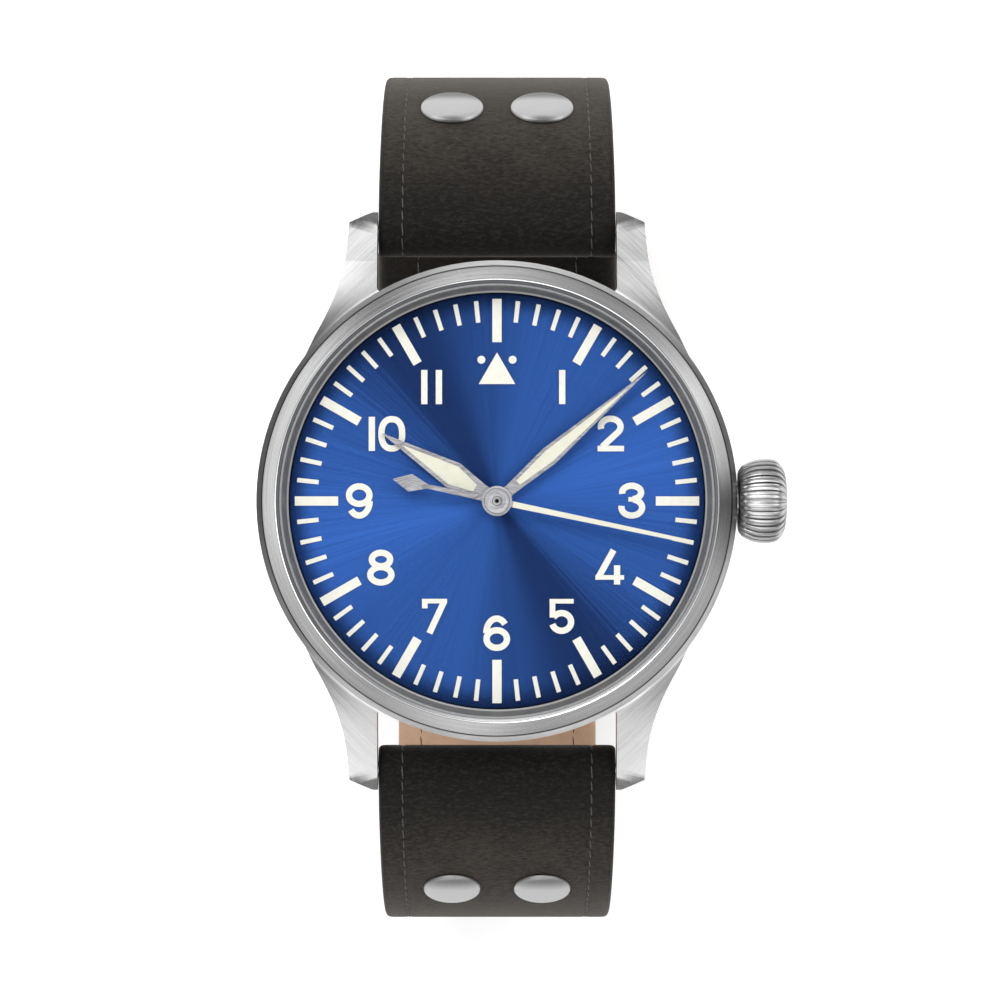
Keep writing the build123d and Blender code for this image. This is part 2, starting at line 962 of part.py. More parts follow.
arbor_top = plate_low + arbor_pivot
with BuildPart() as barrel_arbor:
    add(upright(barrel, bridge_low, arbor_top, barrel_arbor_r))
    with BuildSketch(Plane((*barrel, winding_low))):
        Rectangle(ratchet_square, ratchet_square)
    extrude(amount=bridge_low - winding_low)
barrel_arbor.part.label = "barrel_arbor"
export_step(barrel_arbor.part, "parts/barrel_arbor.step")

with BuildPart() as escape_wheel:
    with BuildSketch(Plane((*escape, fork_low))):
        pitch = 360 / escape_teeth
        with BuildLine():
            Polyline(
                *[
                    corner
                    for number in range(escape_teeth)
                    for corner in (
                        spot(escape_root_r, number * pitch),
                        spot(escape_r, (number + tooth_foot_share) * pitch),
                        spot(escape_root_r, (number + tooth_foot_share) * pitch),
                    )
                ],
                close=True,
            )
        make_face()
        Circle(escape_root_r - escape_rim, mode=Mode.SUBTRACT)
        with PolarLocations(0, 4):
            Rectangle(escape_root_r - escape_rim / 2, arm_wide, align=(Align.MIN, Align.CENTER))
        Circle(escape_hub_r)
    extrude(amount=wheel_thick)
    add(
        gear(
            escape,
            fourth_low - running_gap,
            fourth_low + wheel_thick + running_gap,
            escape_leaves,
            fourth_module,
            escape_phase,
        )
    )
    add(upright(escape, pivot_low, pivot_high, arbor_r))
escape_wheel.part.label = "escape_wheel"
export_step(escape_wheel.part, "parts/escape_wheel.step")

# Escapement: pallet fork, its bridge, balance and hairspring

lever = Plane((*pallet, fork_low)).rotated((0, 0, lever_angle))
pallet_to_escape = hypot(pallet[0] - escape[0], pallet[1] - escape[1])
pallet_to_balance = hypot(pallet[0] - balance[0], pallet[1] - balance[1])
stone_y = escape_r * sin(radians(pallet_span))
stone_tip_x = -pallet_to_escape + escape_r * cos(radians(pallet_span)) + stone_clear
impulse_x = pallet_to_balance - impulse_orbit
horn_end = impulse_x + fork_horn_reach
with BuildPart() as pallet_fork:
    with BuildSketch(lever):
        Rectangle(impulse_x - impulse_r, fork_wide, align=(Align.MIN, Align.CENTER))
        with Locations((horn_end, 0)):
            Rectangle(fork_horn_wide, fork_horn_wide, align=(Align.MAX, Align.CENTER))
        with Locations((horn_end, 0)):
            Rectangle(2 * fork_horn_reach + fork_notch / 2, fork_notch,
                      align=(Align.MAX, Align.CENTER), mode=Mode.SUBTRACT)
        Rectangle(pallet_arm_wide, 2 * stone_y + stone_wide)
        with Locations((0, stone_y), (0, -stone_y)):
            Rectangle(-stone_tip_x, stone_wide, align=(Align.MAX, Align.CENTER))
    extrude(amount=fork_thick)
    add(upright(pallet, pallet_bridge_low + running_gap, pivot_high, arbor_r))
pallet_fork.part.label = "pallet_fork"
export_step(pallet_fork.part, "parts/pallet_fork.step")

with BuildPart() as pallet_bridge:
    with BuildSketch(Plane((*pallet, pallet_bridge_low)).rotated((0, 0, lever_angle + 90))):
        SlotCenterToCenter(2 * pallet_foot_at, pallet_bridge_wide)
        rounded(arbor_r + pivot_gap, mode=Mode.SUBTRACT)
    extrude(amount=pallet_bridge_thick)
    for side in (-1, 1):
        foot = (
            pallet[0] - side * pallet_foot_at * sin(radians(lever_angle)),
            pallet[1] + side * pallet_foot_at * cos(radians(lever_angle)),
        )
        add(upright(foot, pallet_bridge_low, plate_low, pallet_foot_r))
pallet_bridge.part.label = "pallet_bridge"
export_step(pallet_bridge.part, "parts/pallet_bridge.step")

with BuildPart() as balance_wheel:
    with BuildSketch(Plane((*balance, balance_low))):
        Circle(balance_r)
        Circle(balance_r - balance_rim, mode=Mode.SUBTRACT)
        with PolarLocations(0, 3, start_angle=lever_angle):
            Rectangle(balance_r - balance_rim / 2, balance_arm_wide, align=(Align.MIN, Align.CENTER))
        Circle(hub_r)
    extrude(amount=balance_thick)
    roller_low = fork_low - running_gap - roller_thick
    add(upright(balance, roller_low, roller_low + roller_thick, roller_r))
    pin = along(balance, pallet, impulse_orbit)
    add(upright(pin, roller_low, fork_low + fork_thick, impulse_r))
    add(upright(balance, hairspring_low - running_gap, balance_low, collet_r))
    add(upright(balance, pivot_low, pivot_high, staff_r))
balance_wheel.part.label = "balance"
export_step(balance_wheel.part, "parts/balance.step")

# The hairspring is a chain of half circles, each half a pitch wider than the last


def spring_edge(shift):
    """Half circles along one edge of the spring, from the collet outwards."""
    half_pitch = hairspring_pitch / 2
    arcs = []
    for number in range(2 * hairspring_turns):
        odd = number % 2
        radius = hairspring_inner + number * half_pitch + shift
        arcs.append(CenterArc((odd * half_pitch, 0), radius, odd * 180, 180))
    return arcs


with BuildPart() as hairspring:
    with BuildSketch(Plane((*balance, hairspring_low)).rotated((0, 0, balance_angle))):
        with BuildLine():
            outer = spring_edge(hairspring_thick / 2)
            inner = spring_edge(-hairspring_thick / 2)
            Line(outer[0] @ 0, inner[0] @ 0)
            Line(outer[-1] @ 1, inner[-1] @ 1)
        make_face()
    extrude(amount=hairspring_high)
hairspring.part.label = "hairspring"
export_step(hairspring.part, "parts/hairspring.step")
spring_end_r = hairspring_inner + hairspring_turns * hairspring_pitch

# Motion work under the dial

motion_low = recess_floor + motion_rise
hour_wheel_low = motion_low + wheel_thick + 2 * running_gap
hour_wheel_top = hour_wheel_low + wheel_thick
minute_phase = meshed(minute_angle, 0, cannon_leaves, minute_teeth)
setting_phase = meshed(-minute_angle, minute_phase, minute_teeth, setting_teeth)
hour_phase = meshed(minute_angle + 180, 0, minute_leaves, hour_teeth)

with BuildPart() as cannon_pinion:
    add(gear(centre, motion_low, motion_low + wheel_thick, cannon_leaves, motion_module, 0))
    add(upright(centre, recess_floor + running_gap, minute_low + hand_thick, cannon_r))
    add(
        upright(centre, recess_floor - cut_over, seconds_low, centre_pipe_r + press_gap),
        mode=Mode.SUBTRACT,
    )
cannon_pinion.part.label = "cannon_pinion"
export_step(cannon_pinion.part, "parts/cannon_pinion.step")

with BuildPart() as minute_wheel:
    add(gear(minute_post, motion_low, motion_low + wheel_thick, minute_teeth, motion_module, minute_phase))
    add(gear(minute_post, motion_low + wheel_thick, hour_wheel_top, minute_leaves, motion_module, 0))
    add(
        upright(minute_post, recess_floor, dial_low, post_r + pivot_gap), mode=Mode.SUBTRACT
    )
minute_wheel.part.label = "minute_wheel"
export_step(minute_wheel.part, "parts/minute_wheel.step")

with BuildPart() as hour_wheel:
    add(gear(centre, hour_wheel_low, hour_wheel_top, hour_teeth, motion_module, hour_phase))
    add(upright(centre, hour_wheel_low, hour_low + hand_thick, hour_pipe_r))
    add(upright(centre, motion_low, seconds_low, hour_pipe_bore), mode=Mode.SUBTRACT)
hour_wheel.part.label = "hour_wheel"
export_step(hour_wheel.part, "parts/hour_wheel.step")

with BuildPart() as setting_wheel:
    add(gear(setting, motion_low, motion_low + wheel_thick, setting_teeth, motion_module, setting_phase))
    add(upright(setting, recess_floor, dial_low, post_r + pivot_gap), mode=Mode.SUBTRACT)
setting_wheel.part.label = "setting_wheel"
export_step(setting_wheel.part, "parts/setting_wheel.step")

# Main plate, bridges, jewels and screws

pivots = (third, escape, pallet, balance)
jewel_spots = (centre, third, escape, balance)
click_tip_r = (
    (ratchet_teeth / (ratchet_teeth + crown_wheel_teeth))
    * hypot(barrel[0] - crown_wheel_x, barrel[1])
    * (1 - 2 * dedendum_share / ratchet_teeth)
    + click_tip_gap
)
click_tip = tuple(a + b for a, b in zip(barrel, spot(click_tip_r, click_beak_angle)))
click_pivot = tuple(a + b for a, b in zip(click_tip, spot(click_long, click_beak_angle + click_lean)))
screw_end = bridge_low + screw_long

with BuildPart() as main_plate:
    add(
        turned(
            (0, plate_low),
            (wall_inner_r, plate_low),
            (wall_inner_r, train_low),
            (plate_r, train_low),
            (plate_r, dial_low),
            (0, dial_low),
        )
    )
    with BuildSketch(Plane.XY.offset(recess_floor)):
        Circle(recess_r)
    extrude(amount=motion_recess, mode=Mode.SUBTRACT)
    with BuildSketch(Plane.XY.offset(stem_z - stem_block_drop)):
        with Locations((keyless_slot_start, 0)):
            Rectangle(stem_block_long, 2 * stem_block_half, align=(Align.MAX, Align.CENTER))
    extrude(amount=plate_low - stem_z + stem_block_drop)
    with BuildSketch(Plane.XY.offset(train_low)):
        with Locations((keyless_slot_start, 0)):
            Rectangle(
                keyless_slot_end - keyless_slot_start, 2 * keyless_slot_half, align=(Align.MIN, Align.CENTER)
            )
    extrude(amount=dial_low - train_low, mode=Mode.SUBTRACT)
    with BuildSketch(Plane.XY.offset(plate_low)):
        with Locations(*pivots):
            rounded(arbor_r + pivot_gap)
        rounded(centre_pipe_r + pivot_gap)
        with Locations(barrel):
            Circle(barrel_arbor_r + pivot_gap)
    extrude(amount=plate_thick, mode=Mode.SUBTRACT)
    with BuildSketch(Plane.XY.offset(train_low)):
        for angle in screw_angles:
            with PolarLocations(screw_ring, 1, start_angle=angle):
                rounded(screw_shank_r + press_gap)
    extrude(amount=screw_end - train_low + press_gap, mode=Mode.SUBTRACT)
    with BuildSketch(Plane.XY.offset(dial_low)):
        for angle in dial_foot_angles:
            with PolarLocations(dial_foot_ring, 1, start_angle=angle):
                rounded(dial_foot_r + pivot_gap)
    extrude(amount=-dial_foot_long - press_gap, mode=Mode.SUBTRACT)
    add(
        crosswise(
            keyless_slot_start - stem_block_long - running_gap,
            keyless_slot_start + running_gap,
            stem_pivot_r + pivot_gap,
        ),
        mode=Mode.SUBTRACT,
    )
    add(crosswise(keyless_slot_end - running_gap, plate_r + cut_over, stem_r + level_gap), mode=Mode.SUBTRACT)
    add(upright(minute_post, recess_floor, hour_wheel_top, post_r))
    add(upright(setting, recess_floor, hour_wheel_low, post_r))
main_plate.part.label = "main_plate"
export_step(main_plate.part, "parts/main_plate.step")


def bridge_seats():
    """Screw holes and jewel seats, cut from whichever bridge they fall in."""
    with BuildPart() as cutter:
        with BuildSketch(Plane.XY.offset(bridge_low)):
            for angle in screw_angles:
                with PolarLocations(screw_ring, 1, start_angle=angle):
                    rounded(screw_shank_r + press_gap)
            with Locations(*jewel_spots):
                rounded(arbor_r + pivot_gap)
        extrude(amount=bridge_thick)
        with BuildSketch(Plane.XY.offset(bridge_low)):
            with Locations(*jewel_spots):
                Circle(jewel_r + press_gap)
        extrude(amount=jewel_thick + press_gap)
    return cutter.part


seats = bridge_seats()
half_plane = 2 * plate_r

with BuildPart() as barrel_bridge:
    with BuildSketch(Plane.XY.offset(bridge_low)):
        Circle(bridge_r)
        with PolarLocations(split_at + split_gap / 2, 1, start_angle=split_angle):
            Rectangle(half_plane, half_plane, align=(Align.MIN, Align.CENTER), mode=Mode.INTERSECT)
        with Locations(barrel):
            Circle(barrel_arbor_r + pivot_gap, mode=Mode.SUBTRACT)
        with Locations((crown_wheel_x, 0)):
            Circle(crown_wheel_core_r + pivot_gap, mode=Mode.SUBTRACT)
    extrude(amount=bridge_thick)
    add(seats, mode=Mode.SUBTRACT)
    add(upright(click_pivot, winding_low, bridge_low, click_post_r))
barrel_bridge.part.label = "barrel_bridge"
export_step(barrel_bridge.part, "parts/barrel_bridge.step")

well_r = balance_r + balance_well
with BuildPart() as train_bridge:
    with BuildSketch(Plane.XY.offset(bridge_low)):
        Circle(bridge_r)
        with PolarLocations(split_at - split_gap / 2, 1, start_angle=split_angle):
            Rectangle(half_plane, half_plane, align=(Align.MAX, Align.CENTER), mode=Mode.INTERSECT)
        with Locations(balance):
            Circle(well_r, mode=Mode.SUBTRACT)
        with PolarLocations(balance_distance, 1, start_angle=balance_angle):
            Rectangle(plate_r, 2 * well_r, align=(Align.MIN, Align.CENTER), mode=Mode.SUBTRACT)
    extrude(amount=bridge_thick)
    add(seats, mode=Mode.SUBTRACT)
train_bridge.part.label = "train_bridge"
export_step(train_bridge.part, "parts/train_bridge.step")

with BuildPart() as balance_cock:
    with BuildSketch(Plane.XY.offset(bridge_low)):
        with PolarLocations(balance_distance, 1, start_angle=balance_angle):
            Rectangle(plate_r, cock_wide, align=(Align.MIN, Align.CENTER))
        with Locations(balance):
            Circle(cock_nose_r)
        Circle(bridge_r, mode=Mode.INTERSECT)
    extrude(amount=bridge_thick)
    add(seats, mode=Mode.SUBTRACT)
    stud = tuple(a + b for a, b in zip(balance, spot(spring_end_r, balance_angle)))
    add(upright(stud, train_low, hairspring_low, stud_r))
balance_cock.part.label = "balance_cock"
export_step(balance_cock.part, "parts/balance_cock.step")

with BuildPart() as jewels:
    with BuildSketch(Plane.XY.offset(bridge_low)):
        with Locations(*jewel_spots):
            Circle(jewel_r)
    extrude(amount=jewel_thick)
jewels.part.label = "jewels"
export_step(jewels.part, "parts/jewels.step")

with BuildPart() as bridge_screws:
    with BuildSketch(Plane.XY.offset(bridge_low)):
        for angle in screw_angles:
            with PolarLocations(screw_ring, 1, start_angle=angle):
                rounded(screw_shank_r)
    extrude(amount=screw_long)
    with BuildSketch(Plane.XY.offset(bridge_low - screw_head_high)):
        for angle in screw_angles:
            with PolarLocations(screw_ring, 1, start_angle=angle):
                RegularPolygon(screw_head_r, fine_sides)
    extrude(amount=screw_head_high)
bridge_screws.part.label = "bridge_screws"
export_step(bridge_screws.part, "parts/bridge_screws.step")

# Winding work on the back of the movement

winding_module = 2 * hypot(barrel[0] - crown_wheel_x, barrel[1]) / (ratchet_teeth + crown_wheel_teeth)
to_crown_wheel = degrees(atan2(-barrel[1], crown_wheel_x - barrel[0]))
ratchet_phase = click_beak_angle + 180 / ratchet_teeth
crown_wheel_phase = meshed(to_crown_wheel, ratchet_phase, ratchet_teeth, crown_wheel_teeth)
face_pitch_r = winding_pinion_r * face_teeth_count / winding_leaves
leaf_module = 2 * winding_pinion_r / winding_leaves
face_tooth_deep = (addendum_share + dedendum_share) * leaf_module - running_gap
face_base = stem_z - winding_pinion_r - addendum_share * leaf_module - running_gap
stem_line = Plane(origin=(0, 0, stem_z), x_dir=(0, 1, 0), z_dir=(1, 0, 0))
crown_wheel_spot = (crown_wheel_x, 0.0)

with BuildPart() as ratchet_wheel:
    add(gear(barrel, winding_low, winding_low + winding_thick, ratchet_teeth, winding_module, ratchet_phase))
    with BuildSketch(Plane((*barrel, winding_low))):
        Rectangle(ratchet_square + 2 * press_gap, ratchet_square + 2 * press_gap)
    extrude(amount=winding_thick, mode=Mode.SUBTRACT)
ratchet_wheel.part.label = "ratchet_wheel"
export_step(ratchet_wheel.part, "parts/ratchet_wheel.step")

crown_ring = Plane(origin=(crown_wheel_x, 0, face_base)) * face_teeth(
    face_teeth_count,
    face_pitch_r - face_ring_wide / 2,
    face_pitch_r + face_ring_wide / 2,
    face_tooth_deep,
    running_gap,
).rotate(Axis.Z, 180 / face_teeth_count)
with BuildPart() as crown_wheel:
    add(
        gear(
            crown_wheel_spot,
            winding_low,
            winding_low + winding_thick,
            crown_wheel_teeth,
            winding_module,
            crown_wheel_phase,
        )
    )
    add(upright(crown_wheel_spot, winding_low, face_base, crown_wheel_core_r))
    add(upright(crown_wheel_spot, train_low + running_gap, face_base, face_pitch_r + face_ring_wide / 2))
    add(crown_ring)
crown_wheel.part.label = "crown_wheel"
export_step(crown_wheel.part, "parts/crown_wheel.step")

with BuildPart() as click:
    with BuildSketch(Plane.XY.offset(winding_low)):
        across = spot(click_beak_wide / 2, click_beak_angle + click_lean + 90)
        with BuildLine():
            Polyline(
                click_tip,
                (click_pivot[0] + across[0], click_pivot[1] + across[1]),
                (click_pivot[0] - across[0], click_pivot[1] - across[1]),
                close=True,
            )
        make_face()
        with Locations(click_pivot):
            Circle(click_r)
            rounded(click_post_r + pivot_gap, mode=Mode.SUBTRACT)
    extrude(amount=winding_thick)
click.part.label = "click"
export_step(click.part, "parts/click.step")

winding_start = crown_wheel_x + face_pitch_r - winding_pinion_wide / 2
clutch_inner_r = stem_r + level_gap
clutch_gap = clutch_deep + running_gap
clutch_ring = face_teeth(clutch_teeth, clutch_inner_r, sliding_r - running_gap, clutch_deep, running_gap)
facing_out = stem_line.offset(winding_start - clutch_gap)
facing_in = Plane(origin=(winding_start, 0, stem_z), x_dir=(0, 1, 0), z_dir=(-1, 0, 0))

with BuildPart() as winding_pinion:
    with BuildSketch(stem_line.offset(winding_start)):
        add(
            tooth_line(
                winding_leaves,
                winding_pinion_r - dedendum_share * leaf_module,
                winding_pinion_r + addendum_share * leaf_module,
                -90,
            )
        )
        Circle(stem_r + pivot_gap, mode=Mode.SUBTRACT)
    extrude(amount=winding_pinion_wide)
    add(facing_in * clutch_ring.rotate(Axis.Z, 180 / clutch_teeth))
winding_pinion.part.label = "winding_pinion"
export_step(winding_pinion.part, "parts/winding_pinion.step")

sliding_end = winding_start - clutch_gap
sliding_start = sliding_end - sliding_long
facing_centre = Plane(origin=(sliding_start, 0, stem_z), x_dir=(0, 1, 0), z_dir=(-1, 0, 0))
groove_start = sliding_start + (sliding_long - sliding_groove_wide) / 2
square_bore = stem_square + 2 * pivot_gap
with BuildPart() as sliding_pinion:
    add(crosswise(sliding_start, sliding_end, sliding_r))
    with BuildSketch(stem_line.offset(groove_start)):
        Circle(sliding_r + cut_over)
        Circle(sliding_r - sliding_groove, mode=Mode.SUBTRACT)
    extrude(amount=sliding_groove_wide, mode=Mode.SUBTRACT)
    with BuildSketch(stem_line.offset(sliding_start - cut_over)):
        Rectangle(square_bore, square_bore)
    extrude(amount=sliding_long + 2 * cut_over, mode=Mode.SUBTRACT)
    add(facing_out * clutch_ring)
    add(facing_centre * clutch_ring)
sliding_pinion.part.label = "sliding_pinion"
export_step(sliding_pinion.part, "parts/sliding_pinion.step")

socket_start = crown_start + crown_cavity_long
with BuildPart() as winding_stem:
    add(crosswise(stem_end_x, stem_square_start, stem_pivot_r))
    with BuildSketch(stem_line.offset(stem_square_start)):
        Rectangle(stem_square, stem_square)
    extrude(amount=stem_square_end - stem_square_start)
    add(crosswise(stem_square_end, socket_start + stem_socket_deep, stem_r))
winding_stem.part.label = "winding_stem"
export_step(winding_stem.part, "parts/winding_stem.step")

# Crown with raised flutes, and its seal

crown_end = crown_start + crown_long
cap_start = crown_end - crown_cap_deep
crown_mid = crown_start + crown_crest_share * (cap_start - crown_start)


def fluted_ring(crest):
    """Outline of the crown across the stem, with one rib for each flute."""
    corners = []
    for number in range(crown_flutes):
        middle = number * 360 / crown_flutes
        for reach, share, side in (
            (crest - crown_flute_deep, crown_foot_share, -1),
            (crest, crown_rib_share, -1),
            (crest, crown_rib_share, 1),
            (crest - crown_flute_deep, crown_foot_share, 1),
        ):
            corners.append(spot(reach, middle + side * share * 180 / crown_flutes))
    return corners


crown_line = [
    (crown_start, crown_inner_r),
    (crown_start + crown_swell_run, crown_swell_r),
    (crown_mid, crown_r),
    (cap_start - crown_swell_run, crown_swell_r),
    (cap_start, crown_outer_r),
]
with BuildPart() as crown:
    for place, crest in crown_line:
        with BuildSketch(stem_line.offset(place)):
            with BuildLine():
                Polyline(*fluted_ring(crest), close=True)
            make_face()
    loft(ruled=True)
    with BuildSketch(stem_line.offset(cap_start)):
        Circle(crown_outer_r - crown_flute_deep)
    with BuildSketch(stem_line.offset(crown_end)):
        Circle(crown_cap_r)
    loft(ruled=True)
    add(crosswise(crown_start - cut_over, socket_start, crown_cavity_r), mode=Mode.SUBTRACT)
    add(crosswise(crown_start, socket_start + stem_socket_deep, stem_r + press_gap), mode=Mode.SUBTRACT)
crown.part.label = "crown"
export_step(crown.part, "parts/crown.step")

seal_start = crown_start + seal_at
with BuildPart() as crown_seal:
    add(crosswise(seal_start, seal_start + seal_wide, crown_cavity_r - press_gap))
    add(crosswise(seal_start, seal_start + seal_wide, tube_outer_r + pivot_gap), mode=Mode.SUBTRACT)
crown_seal.part.label = "crown_seal"
export_step(crown_seal.part, "parts/crown_seal.step")

# Spring bars at the lugs and the bar of the buckle

bar_half = bar_long / 2
tip_outer = lug_inner_x + bar_tip_reach
tip_inner = tip_outer - bar_tip_long
pin_half = buckle_half + buckle_arm

# Strap: each half runs from its spring bar over the wrist's side to a flat part underneath


def strap_centre(reach, sweep_r):
    """Centre of the big arc that touches the fold and reaches furthest out."""
    side_y = reach - sweep_r
    return side_y, bar_z - sqrt((sweep_r - strap_fold_r) ** 2 - (bar_y - side_y) ** 2)


centre_12 = strap_centre(reach_12, sweep_r_12)
centre_6 = strap_centre(reach_6, sweep_r_6)
flat_12 = centre_12[1] - turn_r_12
strap_low_level = flat_12 + strap_low_rise
flat_6 = flat_12 - layer_gap - strap_thick
pin_z = flat_12 + buckle_fold_r
ground_z = flat_6 - keeper_gap - keeper_thick


def strap_band(middle, reach, sweep_r, flat, end_y, outer, inner):
    """Side outline of a strap layer between two depths below its outer face."""
    turn_r = middle[1] - flat
    turn_y = reach - turn_r
    start = degrees(atan2(bar_z - middle[1], bar_y - middle[0]))
    with BuildSketch() as outline:
        with BuildLine():
            ends = []
            for depth in (outer, inner):
                sweep = CenterArc(middle, sweep_r - depth, 0, start)
                turn = CenterArc((turn_y, middle[1]), turn_r - depth, 0, -90)
                Line((turn_y, flat + depth), (end_y, flat + depth))
                ends.append(sweep @ 1)
            Line(*ends)
            Line((end_y, flat + outer), (end_y, flat + inner))
        make_face()
    return outline.sketch


def strap_pair(middle, reach, sweep_r, flat, end_y, pinned):
    """Leather and lining of one strap half, lying towards +Y, as two solids."""
    with BuildPart() as taper:
        with BuildSketch(Plane.XZ):
            with BuildLine():
                right = Polyline(
                    (strap_half_top, bar_z + strap_fold_r + cut_over),
                    (strap_half_top, strap_top_level),
                    (strap_half_mid, strap_mid_level),
                    (strap_half_low, strap_low_level),
                    (strap_half_low, flat - cut_over),
                    (0, flat - cut_over),
                    (0, bar_z + strap_fold_r + cut_over),
                    close=True,
                )
            make_face()
            mirror(about=Plane.YZ)
        extrude(amount=reach + cut_over, both=True)
    with BuildSketch() as under:
        add(strap_band(middle, reach, sweep_r, flat, end_y, leather_thick, strap_thick))
        with Locations((bar_y, bar_z)):
            Circle(fold_start, mode=Mode.SUBTRACT)
        if pinned:
            with Locations((end_y, flat + strap_thick / 2)):
                Circle(fold_start, mode=Mode.SUBTRACT)
    with BuildSketch() as over:
        add(strap_band(middle, reach, sweep_r, flat, end_y, 0, strap_thick))
        with Locations((bar_y, bar_z)):
            Circle(strap_fold_r)
        if pinned:
            with Locations((end_y, pin_z)):
                Circle(buckle_fold_r)
                Circle(buckle_pin_r + running_gap, mode=Mode.SUBTRACT)
        add(under.sketch, mode=Mode.SUBTRACT)
        with Locations((bar_y, bar_z)):
            Circle(strap_hole, mode=Mode.SUBTRACT)
    layers = []
    for face in (over.sketch, under.sketch):
        with BuildPart() as layer:
            with BuildSketch(Plane.YZ):
                add(face)
            extrude(amount=case_r, both=True)
            add(taper.part, mode=Mode.INTERSECT)
            if pinned:
                with BuildSketch(Plane.XY.offset(flat - cut_over)):
                    with Locations((0, end_y + tongue_slot_long)):
                        Rectangle(
                            2 * tongue_slot_half,
                            tongue_slot_long + buckle_fold_r + cut_over,
                            align=(Align.CENTER, Align.MAX),
                        )
                extrude(amount=2 * strap_thick + cut_over, mode=Mode.SUBTRACT)
            else:
                with BuildSketch(Plane.XY.offset(flat - cut_over)):
                    for number in range(hole_count):
                        hole_y = -buckle_y + tongue_hole_run - (number - 1) * hole_pitch
                        with Locations((0, hole_y)):
                            Rectangle(tongue_hole_wide, tongue_hole_long)
                extrude(amount=strap_thick + 2 * cut_over, mode=Mode.SUBTRACT)
                corners = layer.edges().filter_by(Axis.Z).group_by(Axis.Y)[0]
                fillet(corners, tail_corner_r)
        layers.append(layer.part)
    return layers


def rivet_planes(middle, sweep_r, elevation, side):
    """Where the rivets sit: their plane lies on the strap and faces outwards."""
    out_y, out_z = cos(radians(elevation)), sin(radians(elevation))
    for x in (-rivet_x, rivet_x):
        yield Plane(
            origin=(x, side * (middle[0] + sweep_r * out_y), middle[1] + sweep_r * out_z),
            x_dir=(1, 0, 0),
            z_dir=(0, side * out_y, out_z),
        )


rivet_spots = [
    *rivet_planes(centre_12, sweep_r_12, rivet_angle_12, 1),
    *rivet_planes(centre_6, sweep_r_6, rivet_angle_6, -1),
]
with BuildPart() as rivet_holes:
    for plane in rivet_spots:
        with BuildSketch(plane):
            RegularPolygon(rivet_shank_r + press_gap, fine_sides)
        extrude(amount=-rivet_hole_sink)

pair_12 = strap_pair(centre_12, reach_12, sweep_r_12, flat_12, buckle_y, True)
pair_6 = strap_pair(centre_6, reach_6, sweep_r_6, flat_6, -tail_end_y, False)
strap_layers = (
    ("strap_12_leather", pair_12[0]),
    ("strap_12_lining", pair_12[1]),
    ("strap_6_leather", pair_6[0].mirror(Plane.XZ)),
    ("strap_6_lining", pair_6[1].mirror(Plane.XZ)),
)
for label, layer in strap_layers:
    with BuildPart() as strap_piece:
        add(layer)
        add(rivet_holes.part, mode=Mode.SUBTRACT)
    strap_piece.part.label = label
    export_step(strap_piece.part, f"parts/{label}.step")

with BuildPart() as strap_rivets:
    for plane in rivet_spots:
        with BuildSketch(plane):
            RegularPolygon(rivet_shank_r, fine_sides)
        extrude(amount=-rivet_sink)
        head = turned(
            (0, 0),
            (rivet_r, 0),
            (rivet_r, rivet_edge),
            (rivet_r * rivet_crown_share, rivet_high),
            (0, rivet_high),
        )
        add(plane * head)
strap_rivets.part.label = "strap_rivets"
export_step(strap_rivets.part, "parts/strap_rivets.step")

with BuildPart() as spring_bars:
    for side in (-1, 1):
        add(crosswise(-bar_half, bar_half, bar_r, side * bar_y, bar_z))
        for start in (-bar_half - cut_over, tip_inner - bar_tip_travel - running_gap):
            add(
                crosswise(
                    start,
                    start + bar_half + cut_over - tip_inner + bar_tip_travel + running_gap,
                    bar_tip_r + pivot_gap,
                    side * bar_y,
                    bar_z,
                ),
                mode=Mode.SUBTRACT,
            )
    add(crosswise(-pin_half, pin_half, buckle_pin_r, buckle_y, pin_z))
spring_bars.part.label = "spring_bars"
export_step(spring_bars.part, "parts/spring_bars.step")

for side, hour in ((1, "12"), (-1, "6")):
    for hand, word in ((-1, "left"), (1, "right")):
        ends = sorted((hand * tip_inner, hand * tip_outer))
        with BuildPart() as bar_tip:
            add(crosswise(*ends, bar_tip_r, side * bar_y, bar_z))
        bar_tip.part.label = f"bar_tip_{hour}_{word}"
        export_step(bar_tip.part, f"parts/bar_tip_{hour}_{word}.step")

# Keepers, buckle frame and tongue


def keeper(middle, top_gap):
    """A leather loop round both layers of the strap."""
    low_in = flat_6 - keeper_gap
    high_in = flat_12 + strap_thick + top_gap
    middle_z = (low_in + high_in) / 2
    with BuildPart() as loop:
        with BuildSketch(Plane.XZ.offset(-middle - keeper_long / 2)):
            with Locations((0, middle_z)):
                Rectangle(2 * keeper_half, high_in - low_in + 2 * keeper_thick)
                Rectangle(2 * (keeper_half - keeper_thick), high_in - low_in, mode=Mode.SUBTRACT)
        extrude(amount=keeper_long)
        fillet(loop.edges().filter_by(Axis.Y).group_by(Axis.X)[0], keeper_thick)
        fillet(loop.edges().filter_by(Axis.Y).group_by(Axis.X)[-1], keeper_thick)
    return loop.part


fixed_keeper = keeper(fixed_keeper_y, press_gap)
fixed_keeper.label = "fixed_keeper"
export_step(fixed_keeper, "parts/fixed_keeper.step")
sliding_keeper = keeper(sliding_keeper_y, keeper_gap)
sliding_keeper.label = "sliding_keeper"
export_step(sliding_keeper, "parts/sliding_keeper.step")

bar_far = buckle_y - buckle_reach - buckle_bar_wide / 2
bar_mid_z = ground_z + keeper_thick / 2
tongue_z = ground_z + tongue_thick / 2


